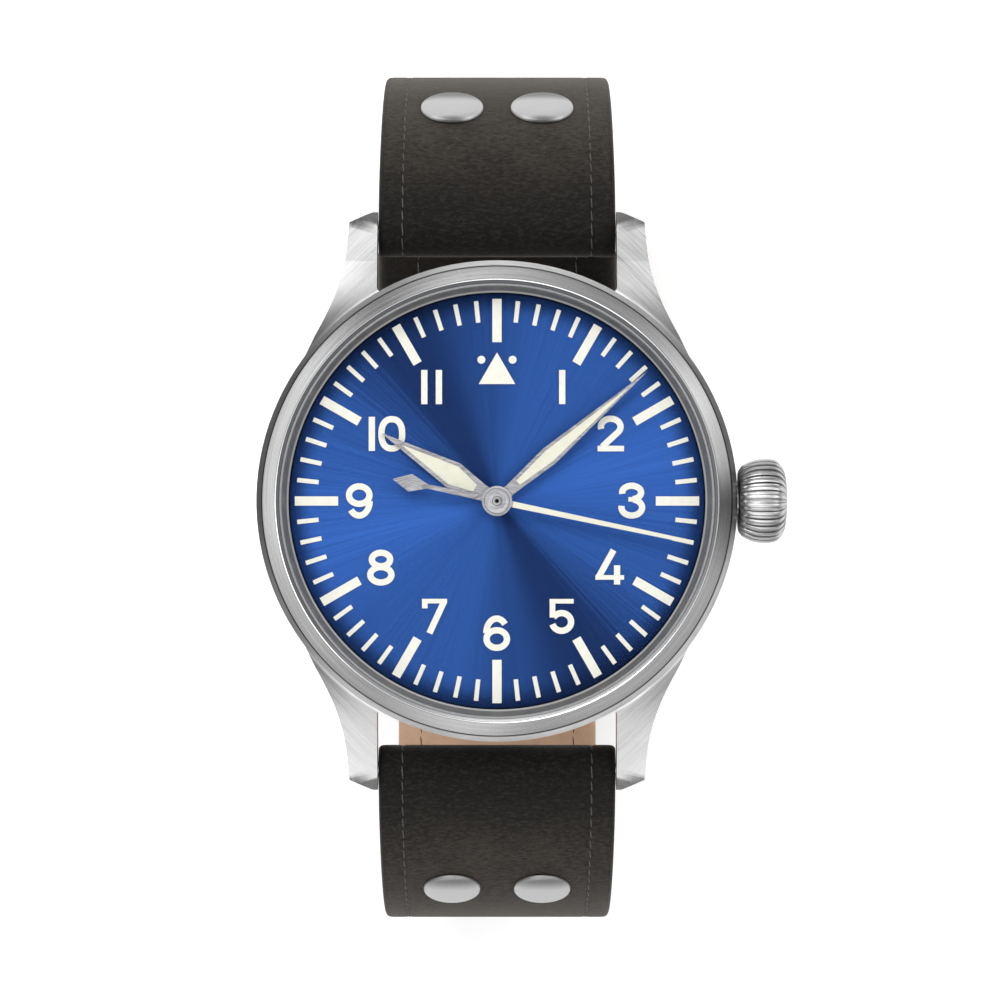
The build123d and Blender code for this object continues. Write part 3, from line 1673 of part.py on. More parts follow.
def strip(points, half):
    """Outline of a bent strip with mitred corners, from points along its middle."""
    left, right = [], []
    for number, point in enumerate(points):
        before = points[max(number - 1, 0)]
        after = points[min(number + 1, len(points) - 1)]
        first = atan2(point[1] - before[1], point[0] - before[0]) if number else None
        last = atan2(after[1] - point[1], after[0] - point[0]) if number < len(points) - 1 else None
        first = last if first is None else first
        last = first if last is None else last
        lean = (first + last) / 2
        reach = half / cos((last - first) / 2)
        left.append((point[0] - reach * sin(lean), point[1] + reach * cos(lean)))
        right.append((point[0] + reach * sin(lean), point[1] - reach * cos(lean)))
    with BuildSketch() as outline:
        with BuildLine():
            Polyline(*left, *reversed(right), close=True)
        make_face()
    return outline.sketch


with BuildPart() as buckle_frame:
    for side in (-1, 1):
        with BuildSketch(Plane.YZ.offset(side * (buckle_half + buckle_arm / 2))):
            add(strip([(buckle_y, pin_z), (buckle_y - buckle_reach, bar_mid_z)], keeper_thick / 2))
            with Locations((buckle_y, pin_z)):
                Circle(buckle_eye_r)
                Circle(buckle_pin_r + pivot_gap, mode=Mode.SUBTRACT)
        extrude(amount=buckle_arm / 2, both=True)
    with BuildSketch(Plane.XY.offset(ground_z)):
        with Locations((0, buckle_y - buckle_reach)):
            RectangleRounded(2 * pin_half, buckle_bar_wide, keeper_thick / 2)
    extrude(amount=keeper_thick)
    with BuildSketch(Plane.XY.offset(ground_z)):
        with Locations((0, buckle_y - buckle_reach)):
            Rectangle(tongue_wide + 2 * tongue_gap, buckle_bar_wide + cut_over)
    extrude(amount=tongue_thick + tongue_gap, mode=Mode.SUBTRACT)
buckle_frame.part.label = "buckle_frame"
export_step(buckle_frame.part, "parts/buckle_frame.step")

with BuildPart() as buckle_tongue:
    with BuildSketch(Plane.YZ):
        add(
            strip(
                [(buckle_y, pin_z), (buckle_y - tongue_bend, tongue_z), (bar_far, tongue_z)],
                tongue_thick / 2,
            )
        )
        with Locations((buckle_y, pin_z)):
            Circle(tongue_eye_r)
            Circle(buckle_pin_r + pivot_gap, mode=Mode.SUBTRACT)
    extrude(amount=tongue_wide / 2, both=True)
buckle_tongue.part.label = "buckle_tongue"
export_step(buckle_tongue.part, "parts/buckle_tongue.step")
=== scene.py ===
from math import acos, asin, atan2, cos, degrees, hypot, pi, radians, sin, sqrt

import bpy
from bpy.props import FloatProperty, FloatVectorProperty, IntProperty, PointerProperty
from mathutils import Matrix, Vector


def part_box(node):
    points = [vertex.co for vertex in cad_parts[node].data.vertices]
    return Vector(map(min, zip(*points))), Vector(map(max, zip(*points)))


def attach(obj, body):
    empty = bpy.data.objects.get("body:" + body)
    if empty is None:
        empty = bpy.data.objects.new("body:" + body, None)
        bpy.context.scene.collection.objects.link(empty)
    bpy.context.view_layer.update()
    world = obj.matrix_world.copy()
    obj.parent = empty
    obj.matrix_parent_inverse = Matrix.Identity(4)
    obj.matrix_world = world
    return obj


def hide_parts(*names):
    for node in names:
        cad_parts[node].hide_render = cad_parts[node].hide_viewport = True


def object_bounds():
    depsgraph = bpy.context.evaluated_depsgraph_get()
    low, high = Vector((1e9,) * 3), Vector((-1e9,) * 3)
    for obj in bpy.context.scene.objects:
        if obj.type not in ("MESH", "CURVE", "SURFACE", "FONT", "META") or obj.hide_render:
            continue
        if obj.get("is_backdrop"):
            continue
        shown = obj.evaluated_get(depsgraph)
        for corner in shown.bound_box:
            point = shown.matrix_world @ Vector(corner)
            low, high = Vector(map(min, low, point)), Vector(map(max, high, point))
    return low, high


bl_info = {
    "name": "Pilot Watch Finish",
    "version": (1, 0, 0),
    "blender": (4, 5, 0),
    "location": "View3D > Sidebar > Pilot Watch",
    "description": "Dresses the pilot watch with its dial print, strap, crown and metal finishes",
    "category": "Object",
}

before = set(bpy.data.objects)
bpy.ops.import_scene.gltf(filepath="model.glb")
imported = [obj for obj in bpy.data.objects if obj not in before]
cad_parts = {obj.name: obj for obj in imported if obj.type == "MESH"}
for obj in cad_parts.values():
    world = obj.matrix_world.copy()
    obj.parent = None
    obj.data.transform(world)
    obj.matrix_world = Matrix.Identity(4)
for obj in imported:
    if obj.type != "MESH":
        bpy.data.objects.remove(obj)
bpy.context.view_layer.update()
MM = 0.001

# Places of the numerals on the dial, in millimetres from its centre
NUMERALS = (
    ("1", 5.42, 9.47), ("2", 9.46, 5.61), ("3", 11.22, 0.02), ("4", 9.36, -5.51), ("5", 5.39, -9.58),
    ("6", -0.04, -10.98), ("7", -5.2, -9.56), ("8", -9.65, -5.54), ("9", -11.43, 0.0),
    ("1", -10.4, 5.58), ("0", -8.74, 5.58), ("1", -6.04, 9.47), ("1", -4.83, 9.47),
)

# Strap path seen from the side, in millimetres, with the half lying towards +Y
BAR_Y, BAR_Z, FOLD_R, FOLD_BORE = 22.5, 1.6, 2.0, 0.95
SKIN, THICK, TUCK = 1.6, 2.8, 3.4
FLAT_12 = -34.693
FLAT_6 = FLAT_12 - 3.0
PIN_Y, PIN_Z, PIN_FOLD_R, PIN_BORE = -3.5, FLAT_12 + 1.75, 1.75, 0.75
THREAD_SINK, THREAD_DIVE, THREAD_SLANT = 0.05, 0.06, radians(4)
STRAP_12 = {"reach": 37.2, "sweep": 26.2, "flat": FLAT_12, "end": PIN_Y, "pinned": True, "side": 1}
STRAP_6 = {"reach": 36.45, "sweep": 24.8, "flat": FLAT_6, "end": -29.0, "pinned": False, "side": -1}
TAIL_R = 6.0
HOLE_FIRST_Y, HOLE_PITCH, HOLE_COUNT = -11.4, 6.5, 5
RIVET_X = 3.85

# Half the strap's width by the lugs, where its taper changes and at its flat end, and the taper's two levels
LUG_HALF, BEND_HALF, END_HALF = 9.93, 9.6, 8.9
TAPER_Z, BEND_Z = 1.0, -19.5

# Case and lug tops in millimetres: the slope's start and fall, its rounded tip, how far its sides are drawn
CASE_R = 20.0
LUG_Y, LUG_Z, LUG_FALL = 20.0, 5.35, 0.4
NOSE_Y, NOSE_LONG, NOSE_DROP = 23.0, 1.3, 2.33
LUG_INNER_X, LUG_TIP_Y, LUG_STEEPEST = 10.35, 24.3, 0.74
LUG_OUT, LUG_IN = 0.62, 0.36

# Height of the winding stem's axis, and the camera's place and lens, in millimetres
STEM_Z = 4.4
CAMERA_PLACE, CAMERA_LENS = (0.25, 0.083, 456.8), 194.9


def linear(code):
    """A written sRGB colour as the linear numbers that shaders take."""
    values = [int(code[place:place + 2], 16) / 255 for place in (1, 3, 5)]
    return tuple(v / 12.92 if v <= 0.04045 else ((v + 0.055) / 1.055) ** 2.4 for v in values)


def length(name, description, millimetres):
    return FloatProperty(name=name, description=description, default=millimetres * MM, unit="LENGTH")


def colour(name, description, code):
    return FloatVectorProperty(
        name=name, description=description, default=linear(code), subtype="COLOR", min=0, max=1
    )


class WatchSizes(bpy.types.PropertyGroup):
    """Sizes of the pieces that are added to the frame"""

    minute_bar_inner: length("Minute bar start", "Distance from the dial's centre to a minute bar", 14.9)
    minute_bar_outer: length("Minute bar end", "Distance from the dial's centre to a minute bar's end", 16.7)
    minute_bar_wide: length("Minute bar width", "Width of a minute bar", 0.38)
    numeral_stroke: length("Numeral stroke", "Width of the upright strokes of the numerals", 0.52)
    numeral_thin: length("Numeral thin stroke", "Width of the level strokes of the numerals", 0.38)
    print_thick: length("Print height", "How far the numerals and bars stand above the dial", 0.12)
    stitch_pitch: length("Stitch pitch", "Distance from one stitch to the next", 1.3)
    stitch_long: length("Stitch length", "Length of a stitch that shows", 1.14)
    stitch_inset: length("Stitch inset", "Distance from the strap's edge to the seam", 2.0)
    thread_wide: length("Thread width", "Width of the sewing thread", 0.11)
    rivet_radius_12: length("Rivet radius at 12", "Radius of a rivet's head in the upper strap half", 2.68)
    rivet_radius_6: length("Rivet radius at 6", "Radius of a rivet's head in the lower strap half", 2.42)
    rivet_high: length("Rivet height", "How far a rivet's head stands above the leather", 0.62)
    crown_flutes: IntProperty(
        name="Crown flutes", description="Number of grip ridges round the crown", default=30
    )
    flute_deep: length("Flute depth", "Depth of the hollows between the crown's ridges", 0.26)


class WatchColours(bpy.types.PropertyGroup):
    """Colours of the finishes, written as they should look under white light"""

    steel: colour("Steel", "Brushed steel of the case", "#f0f0f0")
    bezel: colour("Bezel", "Turned steel of the bezel", "#f0f0f0")
    # painted shade: the tone that the case is darkened towards near its bottom
    painted_shade_steel: colour("Dark steel", "Steel that looks into shade", "#77777a")
    hand: colour("Hand", "Brushed steel of the hands", "#c2c2c6")
    lume: colour("Luminous paint, dial", "Cream paint of the numerals and markers", "#f3f2e6")
    hand_lume: colour("Luminous paint, hands", "Cream paint of the hands", "#e9e8d5")
    # painted light: the sunburst's fans of reflected light are painted in these three blues
    dial_bright: colour("Dial, bright", "Sunburst blue where the light fans out", "#3662b4")
    dial_mid: colour("Dial, middle", "Sunburst blue between the fans", "#2e559c")
    dial_dark: colour("Dial, dark", "Sunburst blue between two fans", "#1b3160")
    leather: colour("Leather", "Worn nubuck leather", "#2e2a26")
    # the dark of the pores, wrinkles and painted edges, and also the painted shade round the fold
    leather_dark_and_shade: colour("Leather, dark", "Leather where it is burnished round the fold", "#0b0a09")
    lining: colour("Lining", "Undyed calf lining", "#cba98e")
    thread: colour("Thread", "Grey sewing thread", "#454240")
    rivet: colour("Rivet", "Tumbled steel of the rivets", "#d2d2d2")
    nickel: colour("Nickel", "Plated bridges of the movement", "#cfcdc6")
    gilt: colour("Gilt", "Gilded wheels of the movement", "#d8b36a")
    ruby: colour("Ruby", "Synthetic ruby of the bearings", "#b3123f")
    blued: colour("Blued steel", "Heat-blued screws and spring", "#1c2f7a")


# Nodes and materials


def add_node(tree, kind, inputs=None, **settings):
    """Adds a node with its settings, then fills or links its inputs."""
    node = tree.nodes.new(kind)
    for name, value in settings.items():
        setattr(node, name, value)
    for name, value in (inputs or {}).items():
        if isinstance(value, bpy.types.NodeSocket):
            tree.links.new(value, node.inputs[name])
        elif isinstance(node.inputs[name].default_value, float):
            node.inputs[name].default_value = value
        elif len(node.inputs[name].default_value) == 4 and len(value) == 3:
            node.inputs[name].default_value = (*value, 1)
        else:
            node.inputs[name].default_value = value
    return node


def start_material(name):
    """An empty material, and the place on the piece in millimetres."""
    material = bpy.data.materials.new(name)
    material.use_nodes = True
    tree = material.node_tree
    tree.nodes.clear()
    place = add_node(tree, "ShaderNodeTexCoord").outputs["Object"]
    scaled = add_node(tree, "ShaderNodeVectorMath", {0: place, "Scale": 1000.0}, operation="SCALE")
    return material, tree, scaled.outputs[0]


def finish_material(material, tree, **inputs):
    """Closes a material with one principled shader."""
    named = {name.replace("_", " "): value for name, value in inputs.items()}
    shader = add_node(tree, "ShaderNodeBsdfPrincipled", named)
    add_node(tree, "ShaderNodeOutputMaterial", {"Surface": shader.outputs[0]})
    return material


def polar_place(tree, place, spokes, rings):
    """Place round the watch's axis, fine from spoke to spoke or from ring to ring."""
    flat = add_node(tree, "ShaderNodeVectorMath", {0: place, 1: (1, 1, 0)}, operation="MULTIPLY").outputs[0]
    way = add_node(tree, "ShaderNodeVectorMath", {0: flat}, operation="NORMALIZE").outputs[0]
    way = add_node(tree, "ShaderNodeVectorMath", {0: way, "Scale": spokes}, operation="SCALE").outputs[0]
    radius = add_node(tree, "ShaderNodeVectorMath", {0: flat}, operation="LENGTH").outputs["Value"]
    height = axis_of(tree, place, "Z")
    reach = sum_of(tree, "ADD", radius, height)
    reach = sum_of(tree, "MULTIPLY", reach, rings)
    up = add_node(tree, "ShaderNodeCombineXYZ", {"Z": reach}).outputs[0]
    return add_node(tree, "ShaderNodeVectorMath", {0: way, 1: up}, operation="ADD").outputs[0]


def grain(tree, vector, scale, detail=3.0, roughness=0.6):
    """Strength of a noise pattern at a vector, from 0 to 1."""
    noise = add_node(
        tree, "ShaderNodeTexNoise",
        {"Vector": vector, "Scale": scale, "Detail": detail, "Roughness": roughness},
    )
    return noise.outputs[0]


def spread(tree, value, low, high, new_low, new_high, kind="LINEAR"):
    """Moves a value from one range to another."""
    return add_node(
        tree, "ShaderNodeMapRange",
        {"Value": value, "From Min": low, "From Max": high, "To Min": new_low, "To Max": new_high},
        interpolation_type=kind,
    ).outputs[0]


def blended(tree, factor, first, second, blend_type="MIX"):
    """One colour over another by a factor."""
    mix = add_node(tree, "ShaderNodeMix", data_type="RGBA", blend_type=blend_type)
    for socket, value in ((mix.inputs[0], factor), (mix.inputs[6], first), (mix.inputs[7], second)):
        if isinstance(value, bpy.types.NodeSocket):
            tree.links.new(value, socket)
        elif isinstance(value, (int, float)):
            socket.default_value = value
        else:
            socket.default_value = (*tuple(value)[:3], 1)
    return mix.outputs[2]


def bumped(tree, height, depth_mm):
    """Normal of a surface whose height pattern is so deep."""
    return add_node(tree, "ShaderNodeBump", {"Height": height, "Distance": depth_mm * MM}).outputs[0]


def shade(value, factor):
    return tuple(part * factor for part in tuple(value)[:3])


def axis_of(tree, place, axis):
    return add_node(tree, "ShaderNodeSeparateXYZ", {0: place}).outputs[axis]


def sum_of(tree, operation, first, second):
    """Two values put through one sum."""
    return add_node(tree, "ShaderNodeMath", {0: first, 1: second}, operation=operation).outputs[0]


def mixed(tree, share, first, second):
    """One value mixed with another by a share."""
    return add_node(tree, "ShaderNodeMix", {0: share, 2: first, 3: second}, data_type="FLOAT").outputs[0]


def multiplied(tree, first, *others):
    """Colours multiplied with one another."""
    for other in others:
        first = blended(tree, 1.0, first, other, "MULTIPLY")
    return first


def mottled(tree, pattern, base, dark, light, low=0.3, high=0.7):
    """A colour taken by a pattern from a darker to a lighter shade of itself."""
    return blended(tree, spread(tree, pattern, low, high, 0.0, 1.0), shade(base, dark), shade(base, light))


def finish_metal(material, tree, tint, pattern, smooth, rough, depth_mm):
    """Closes a metal whose pattern varies its roughness and leaves fine relief."""
    return finish_material(
        material, tree,
        Base_Color=tint,
        Metallic=1.0,
        Roughness=spread(tree, pattern, 0.3, 0.7, smooth, rough),
        Normal=bumped(tree, pattern, depth_mm),
    )


# Light painted round the bezel by degrees, on its face and on its inner step, and the painted tones of its
# steps by radius: painted highlights and dark lines of painted shade
BEZEL_PAINTED_FANS = (
    (0, "#606060"), (12, "#a4a4a4"), (30, "#bebebe"), (60, "#aeaeae"), (90, "#d0d0d0"), (120, "#848484"),
    (150, "#ffffff"), (184, "#ffffff"), (212, "#d8d8d8"), (242, "#989898"), (272, "#b6b6b6"),
    (300, "#d0d0d0"), (335, "#d0d0d0"), (360, "#606060"),
)
INNER_PAINTED_FANS = (
    (0, "#808080"), (60, "#787878"), (190, "#686868"), (235, "#a0a0a0"), (272, "#f0f0f0"),
    (330, "#a8a8a8"), (360, "#808080"),
)
BEZEL_INNER_R, BEZEL_OUTER_R = 17.0, 20.0
BEZEL_PAINTED_STEPS = (
    (17.3, "#9a9a9a"), (18.0, "#b0b0b0"), (18.32, "#ffffff"), (18.38, "#505050"), (18.45, "#ffffff"),
    (19.3, "#f4f4f4"), (19.4, "#e8e8e8"), (19.45, "#202020"),
)
EVEN_FANS = ((0, "#ffffff"), (360, "#ffffff"))
EVEN_STEPS = ((BEZEL_INNER_R, "#ffffff"), (BEZEL_OUTER_R, "#ffffff"))


def radius_of(tree, place):
    """Distance of a place from the watch's axis."""
    flat = add_node(tree, "ShaderNodeVectorMath", {0: place, 1: (1, 1, 0)}, operation="MULTIPLY").outputs[0]
    return add_node(tree, "ShaderNodeVectorMath", {0: flat}, operation="LENGTH").outputs["Value"]


def turn_of(tree, place, start=0.0):
    """Share of a full turn round the watch's axis, from 0 to 1."""
    angle = sum_of(tree, "ARCTAN2", axis_of(tree, place, "Y"), axis_of(tree, place, "X"))
    turns = sum_of(tree, "MULTIPLY", angle, 0.5 / pi)
    turns = sum_of(tree, "ADD", turns, 2 - start / 360)
    return sum_of(tree, "MODULO", turns, 1.0)


def tone_ramp(tree, value, stops, interpolation="EASE"):
    """A run of tones or colours along a value."""
    node = add_node(tree, "ShaderNodeValToRGB", {"Fac": value})
    node.color_ramp.interpolation = interpolation
    ramp = node.color_ramp.elements
    while len(ramp) < len(stops):
        ramp.new(0.5)
    for element, (position, tint) in zip(ramp, stops):
        element.position = position
        element.color = (*linear(tint), 1) if isinstance(tint, str) else (*tuple(tint)[:3], 1)
    return node.outputs["Color"]


def turned_steel(name, base, spokes, roughness, contrast, fans, steps):
    """Stainless steel satined on a lathe: fine rings, painted fans of light round it, painted highlights and
    dark lines of painted shade in its steps.
    """
    material, tree, place = start_material(name)
    rings = polar_place(tree, place, spokes, 9.0)
    lines = grain(tree, rings, 1.0, 4.0, 0.7)
    metal = mottled(tree, lines, base, 1 - contrast, 1 + contrast / 2)
    # painted light: fans of light and shade round the ring by degrees
    painted_fan = tone_ramp(tree, turn_of(tree, place), [(angle / 360, tint) for angle, tint in fans])
    metal = multiplied(tree, metal, painted_fan)
    radius = radius_of(tree, place)
    # painted light on the inner step, by degrees
    inner = tone_ramp(tree, turn_of(tree, place), [(angle / 360, tint) for angle, tint in INNER_PAINTED_FANS])
    metal = blended(tree, spread(tree, radius, 18.3, 18.36, 0.8, 0.0), metal, inner)
    # painted tones by radius: highlights and dark lines of painted shade in the steps
    reach = spread(tree, radius, BEZEL_INNER_R, BEZEL_OUTER_R, 0.0, 1.0)
    wide = BEZEL_OUTER_R - BEZEL_INNER_R
    step = tone_ramp(tree, reach, [((at - BEZEL_INNER_R) / wide, tint) for at, tint in steps], "LINEAR")
    metal = multiplied(tree, metal, step)
    # a painted highlight along the inner step's edge
    painted_glint = tone_ramp(
        tree, reach, [(0.425, "#000000"), (0.44, "#c8c8c8"), (0.455, "#c8c8c8"), (0.47, "#000000")]
    )
    metal = blended(tree, 1.0, metal, painted_glint, "SCREEN")
    return finish_metal(material, tree, metal, lines, roughness - 0.05, roughness + 0.07, 0.004)


def brushed_steel(name, base, lean, roughness):
    """Stainless steel brushed in straight strokes, which leaves fine bright and dark streaks."""
    material, tree, place = start_material(name)
    turned = add_node(
        tree, "ShaderNodeMapping",
        {"Vector": place, "Rotation": (0, 0, radians(lean)), "Scale": (0.25, 7.0, 3.0)},
    ).outputs[0]
    lines = grain(tree, turned, 1.0, 4.0, 0.65)
    return finish_metal(
        material, tree, mottled(tree, lines, base, 0.82, 1.08),
        lines, roughness - 0.05, roughness + 0.08, 0.008,
    )


def case_steel(colours):
    """Brushed stainless steel: strokes run round the case; painted fans of light and shade by degrees,
    strongest by the case; painted tones by radius: a dark line of painted shade by the bezel, a painted
    highlight on the case's rim, darker lugs that are lighter at the tips; painted shade towards the bottom.
    """
    material, tree, place = start_material("brushed_stainless_steel")
    strokes = grain(tree, polar_place(tree, place, 3.0, 3.2), 1.0, 5.0, 0.72)
    fine = grain(tree, polar_place(tree, place, 2.0, 14.0), 1.0, 3.0, 0.6)
    lines = mixed(tree, 0.4, strokes, fine)
    metal = mottled(tree, lines, colours.steel, 0.66, 1.12, 0.34, 0.66)
    radius = radius_of(tree, place)
    # painted light: fans of light and shade round the case by degrees
    painted_fan = tone_ramp(
        tree, turn_of(tree, place),
        [
            (0.0, "#747474"), (0.083, "#848484"), (0.167, "#dadada"), (0.25, "#f6f6f6"), (0.333, "#b0b0b0"),
            (0.417, "#6c6c6c"), (0.5, "#686868"), (0.583, "#9c9c9c"), (0.65, "#f4f4f4"), (0.75, "#e8e8e8"),
            (0.84, "#ffffff"), (0.93, "#f8f8f8"), (1.0, "#747474"),
        ],
    )
    # painted tones by radius: a dark line of painted shade by the bezel, a painted highlight on the rim, lugs
    # darkened a little less at their tips
    reach = spread(tree, radius, 19.0, 28.0, 0.0, 1.0)
    ring = tone_ramp(
        tree, reach,
        [
            (0.06, "#202020"), (0.068, "#f8f8f8"), (0.1, "#f8f8f8"), (0.112, "#ffffff"), (0.14, "#b4b4b4"),
            (0.3, "#b0b0b0"), (0.5, "#b8b8b8"), (0.68, "#c4c4c4"),
        ],
        "LINEAR",
    )
    # the painted fans are strongest by the case and fade towards the lug tips
    near = spread(tree, radius, 20.0, 23.0, 1.0, 0.35)
    metal = blended(tree, 1.0, metal, blended(tree, near, (1, 1, 1), painted_fan), "MULTIPLY")
    metal = multiplied(tree, metal, ring)
    # painted shade towards the bottom of the case
    height = axis_of(tree, place, "Z")
    low = spread(tree, height, 0.2, 2.2, 0.45, 0.0)
    return finish_metal(
        material, tree, blended(tree, low, metal, shade(colours.painted_shade_steel, 0.5)),
        lines, 0.24, 0.38, 0.006,
    )


def polished_steel(name, base):
    """Polished stainless steel with the faint haze of fine wiping marks."""
    material, tree, place = start_material(name)
    haze = grain(tree, place, 1.4, 5.0, 0.6)
    return finish_material(
        material, tree,
        Base_Color=blended(tree, haze, shade(base, 0.9), base),
        Metallic=1.0,
        Roughness=spread(tree, haze, 0.3, 0.7, 0.12, 0.2),
        Normal=bumped(tree, grain(tree, place, 9.0, 2.0), 0.001),
    )


def crown_steel(colours):
    """Satin stainless steel: bright ridges, painted shade on the walls between them, painted light and shade
    along it, darker towards the case.
    """
    material, tree, place = start_material("satin_stainless_steel_crown")
    valley = add_node(tree, "ShaderNodeAttribute", attribute_name="valley").outputs["Fac"]
    stretched = add_node(tree, "ShaderNodeMapping", {"Vector": place, "Scale": (0.5, 7.0, 7.0)}).outputs[0]
    lines = grain(tree, stretched, 1.2, 3.0)
    ridge = mottled(tree, lines, colours.steel, 0.7, 1.0, 0.35, 0.65)
    # painted shade in the flutes: the ridges stay bright, the walls between them are darkened
    flute_shade = tone_ramp(
        tree, valley,
        [
            (0.0, "#ffffff"), (0.08, "#f4f4f4"), (0.4, "#9c9c9c"), (0.6, "#9c9c9c"), (0.92, "#d8d8d8"),
            (1.0, "#e4e4e4"),
        ],
    )
    # painted light and shade along the crown: darker by the case, with bright bands
    along = spread(tree, axis_of(tree, place, "X"), 20.0, 24.3, 0.0, 1.0)
    reach = tone_ramp(
        tree, along,
        [
            (0.02, "#b8b8b8"), (0.1, "#ffffff"), (0.4, "#e8e8e8"), (0.72, "#d0d0d0"), (0.86, "#ffffff"),
            (1.0, "#f0f0f0"),
        ],
    )
    metal = multiplied(tree, ridge, flute_shade, reach)
    return finish_metal(material, tree, metal, lines, 0.32, 0.44, 0.003)


def dial_lacquer(colours):
    """Brass dial brushed from its centre under blue lacquer: the light that fans out in two pairs of beams is
    painted into its blue, with painted shade towards its rim.
    """
    material, tree, place = start_material("sunburst_blue_lacquer")
    spokes = grain(tree, polar_place(tree, place, 60.0, 0.05), 1.0, 3.0, 0.7)
    wobble = spread(tree, spokes, 0.3, 0.7, -0.012, 0.012)
    # painted reflection: the blue goes from bright to dark in two pairs of beams by degrees
    turns = sum_of(tree, "MULTIPLY", turn_of(tree, place, 15.0), 2.0)
    turns = sum_of(tree, "ADD", turns, wobble)
    turns = sum_of(tree, "ADD", turns, 2.0)
    share = sum_of(tree, "MODULO", turns, 1.0)
    between = [(mid + dark) / 2 for mid, dark in zip(colours.dial_mid, colours.dial_dark)]
    tint = tone_ramp(
        tree, share,
        (
            (0.0, colours.dial_bright), (0.17, colours.dial_mid), (0.33, colours.dial_mid), (0.45, between),
            (0.56, colours.dial_dark), (0.62, colours.dial_dark), (0.68, between), (0.76, colours.dial_mid),
            (1.0, colours.dial_bright),
        ),
    )
    radius = radius_of(tree, place)
    # painted shade towards the rim, and a dark ring of painted shadow at its edge by the flange
    rim = spread(tree, radius, 15.2, 17.2, 0.0, 0.85, "SMOOTHSTEP")
    tint = blended(tree, rim, tint, shade(colours.dial_dark, 0.4))
    tint = blended(tree, spread(tree, radius, 17.1, 17.28, 0.0, 1.0), tint, linear("#05060a"))
    streak = spread(tree, spokes, 0.32, 0.68, 0.0, 1.0)
    return finish_material(
        material, tree,
        Base_Color=blended(tree, streak, shade_node(tree, tint, 0.86), shade_node(tree, tint, 1.1)),
        Metallic=0.15,
        Roughness=0.5,
        Specular_IOR_Level=0.0,
    )


def shade_node(tree, tint, factor):
    """A colour made lighter or darker inside a material."""
    scaled = add_node(tree, "ShaderNodeVectorMath", {0: tint, "Scale": factor}, operation="SCALE")
    return scaled.outputs[0]


def luminous_paint(name, tint):
    """Luminous paint in a clear binder: matt cream with the faint unevenness of a filled layer."""
    material, tree, place = start_material(name)
    cloud = grain(tree, place, 1.6, 3.0)
    fine = grain(tree, place, 14.0, 2.0)
    return finish_material(
        material, tree,
        Base_Color=blended(tree, spread(tree, cloud, 0.3, 0.7, 0.0, 1.0), shade(tint, 0.92), tint),
        Roughness=0.55,
        Specular_IOR_Level=0.3,
        Normal=bumped(tree, fine, 0.004),
    )


def hand_steel(colours):
    """Stainless steel hands: brushed in slightly wandering strokes, with a turned hub; painted shade in the
    pin hole and dark rings of painted shade at the hub's steps.
    """
    material, tree, place = start_material("brushed_hand_steel")
    drift = add_node(
        tree, "ShaderNodeTexNoise", {"Vector": place, "Scale": 0.5, "Detail": 1.0}
    ).outputs["Color"]
    bent = add_node(
        tree, "ShaderNodeVectorMath", {0: drift, 1: (1.6, 1.6, 0), 2: place}, operation="MULTIPLY_ADD"
    )
    turned = add_node(
        tree, "ShaderNodeMapping",
        {"Vector": bent.outputs[0], "Rotation": (0, 0, radians(12)), "Scale": (0.55, 7.5, 1.0)},
    ).outputs[0]
    strokes = grain(tree, turned, 1.0, 4.0, 0.75)
    rings = grain(tree, polar_place(tree, place, 0.6, 9.0), 1.0, 3.0, 0.7)
    radius = radius_of(tree, place)
    hub = spread(tree, radius, 1.3, 1.4, 0.7, 0.0)
    lines = mixed(tree, hub, strokes, rings)
    metal = mottled(tree, lines, colours.hand, 0.55, 1.15, 0.38, 0.62)
    # painted tones by radius: painted shade in the pin hole and at the hub's steps
    steps = tone_ramp(
        tree, spread(tree, radius, 0.0, 1.6, 0.0, 1.0),
        [
            (0.0, "#2a2a2c"), (0.09, "#2a2a2c"), (0.12, "#f0f0f0"), (0.2, "#ffffff"), (0.24, "#6a6a6c"),
            (0.27, "#ffffff"), (0.62, "#ffffff"), (0.65, "#8c8c90"), (0.68, "#ffffff"), (0.76, "#e8e8e8"),
        ],
        "LINEAR",
    )
    return finish_metal(material, tree, multiplied(tree, metal, steps), lines, 0.28, 0.42, 0.004)


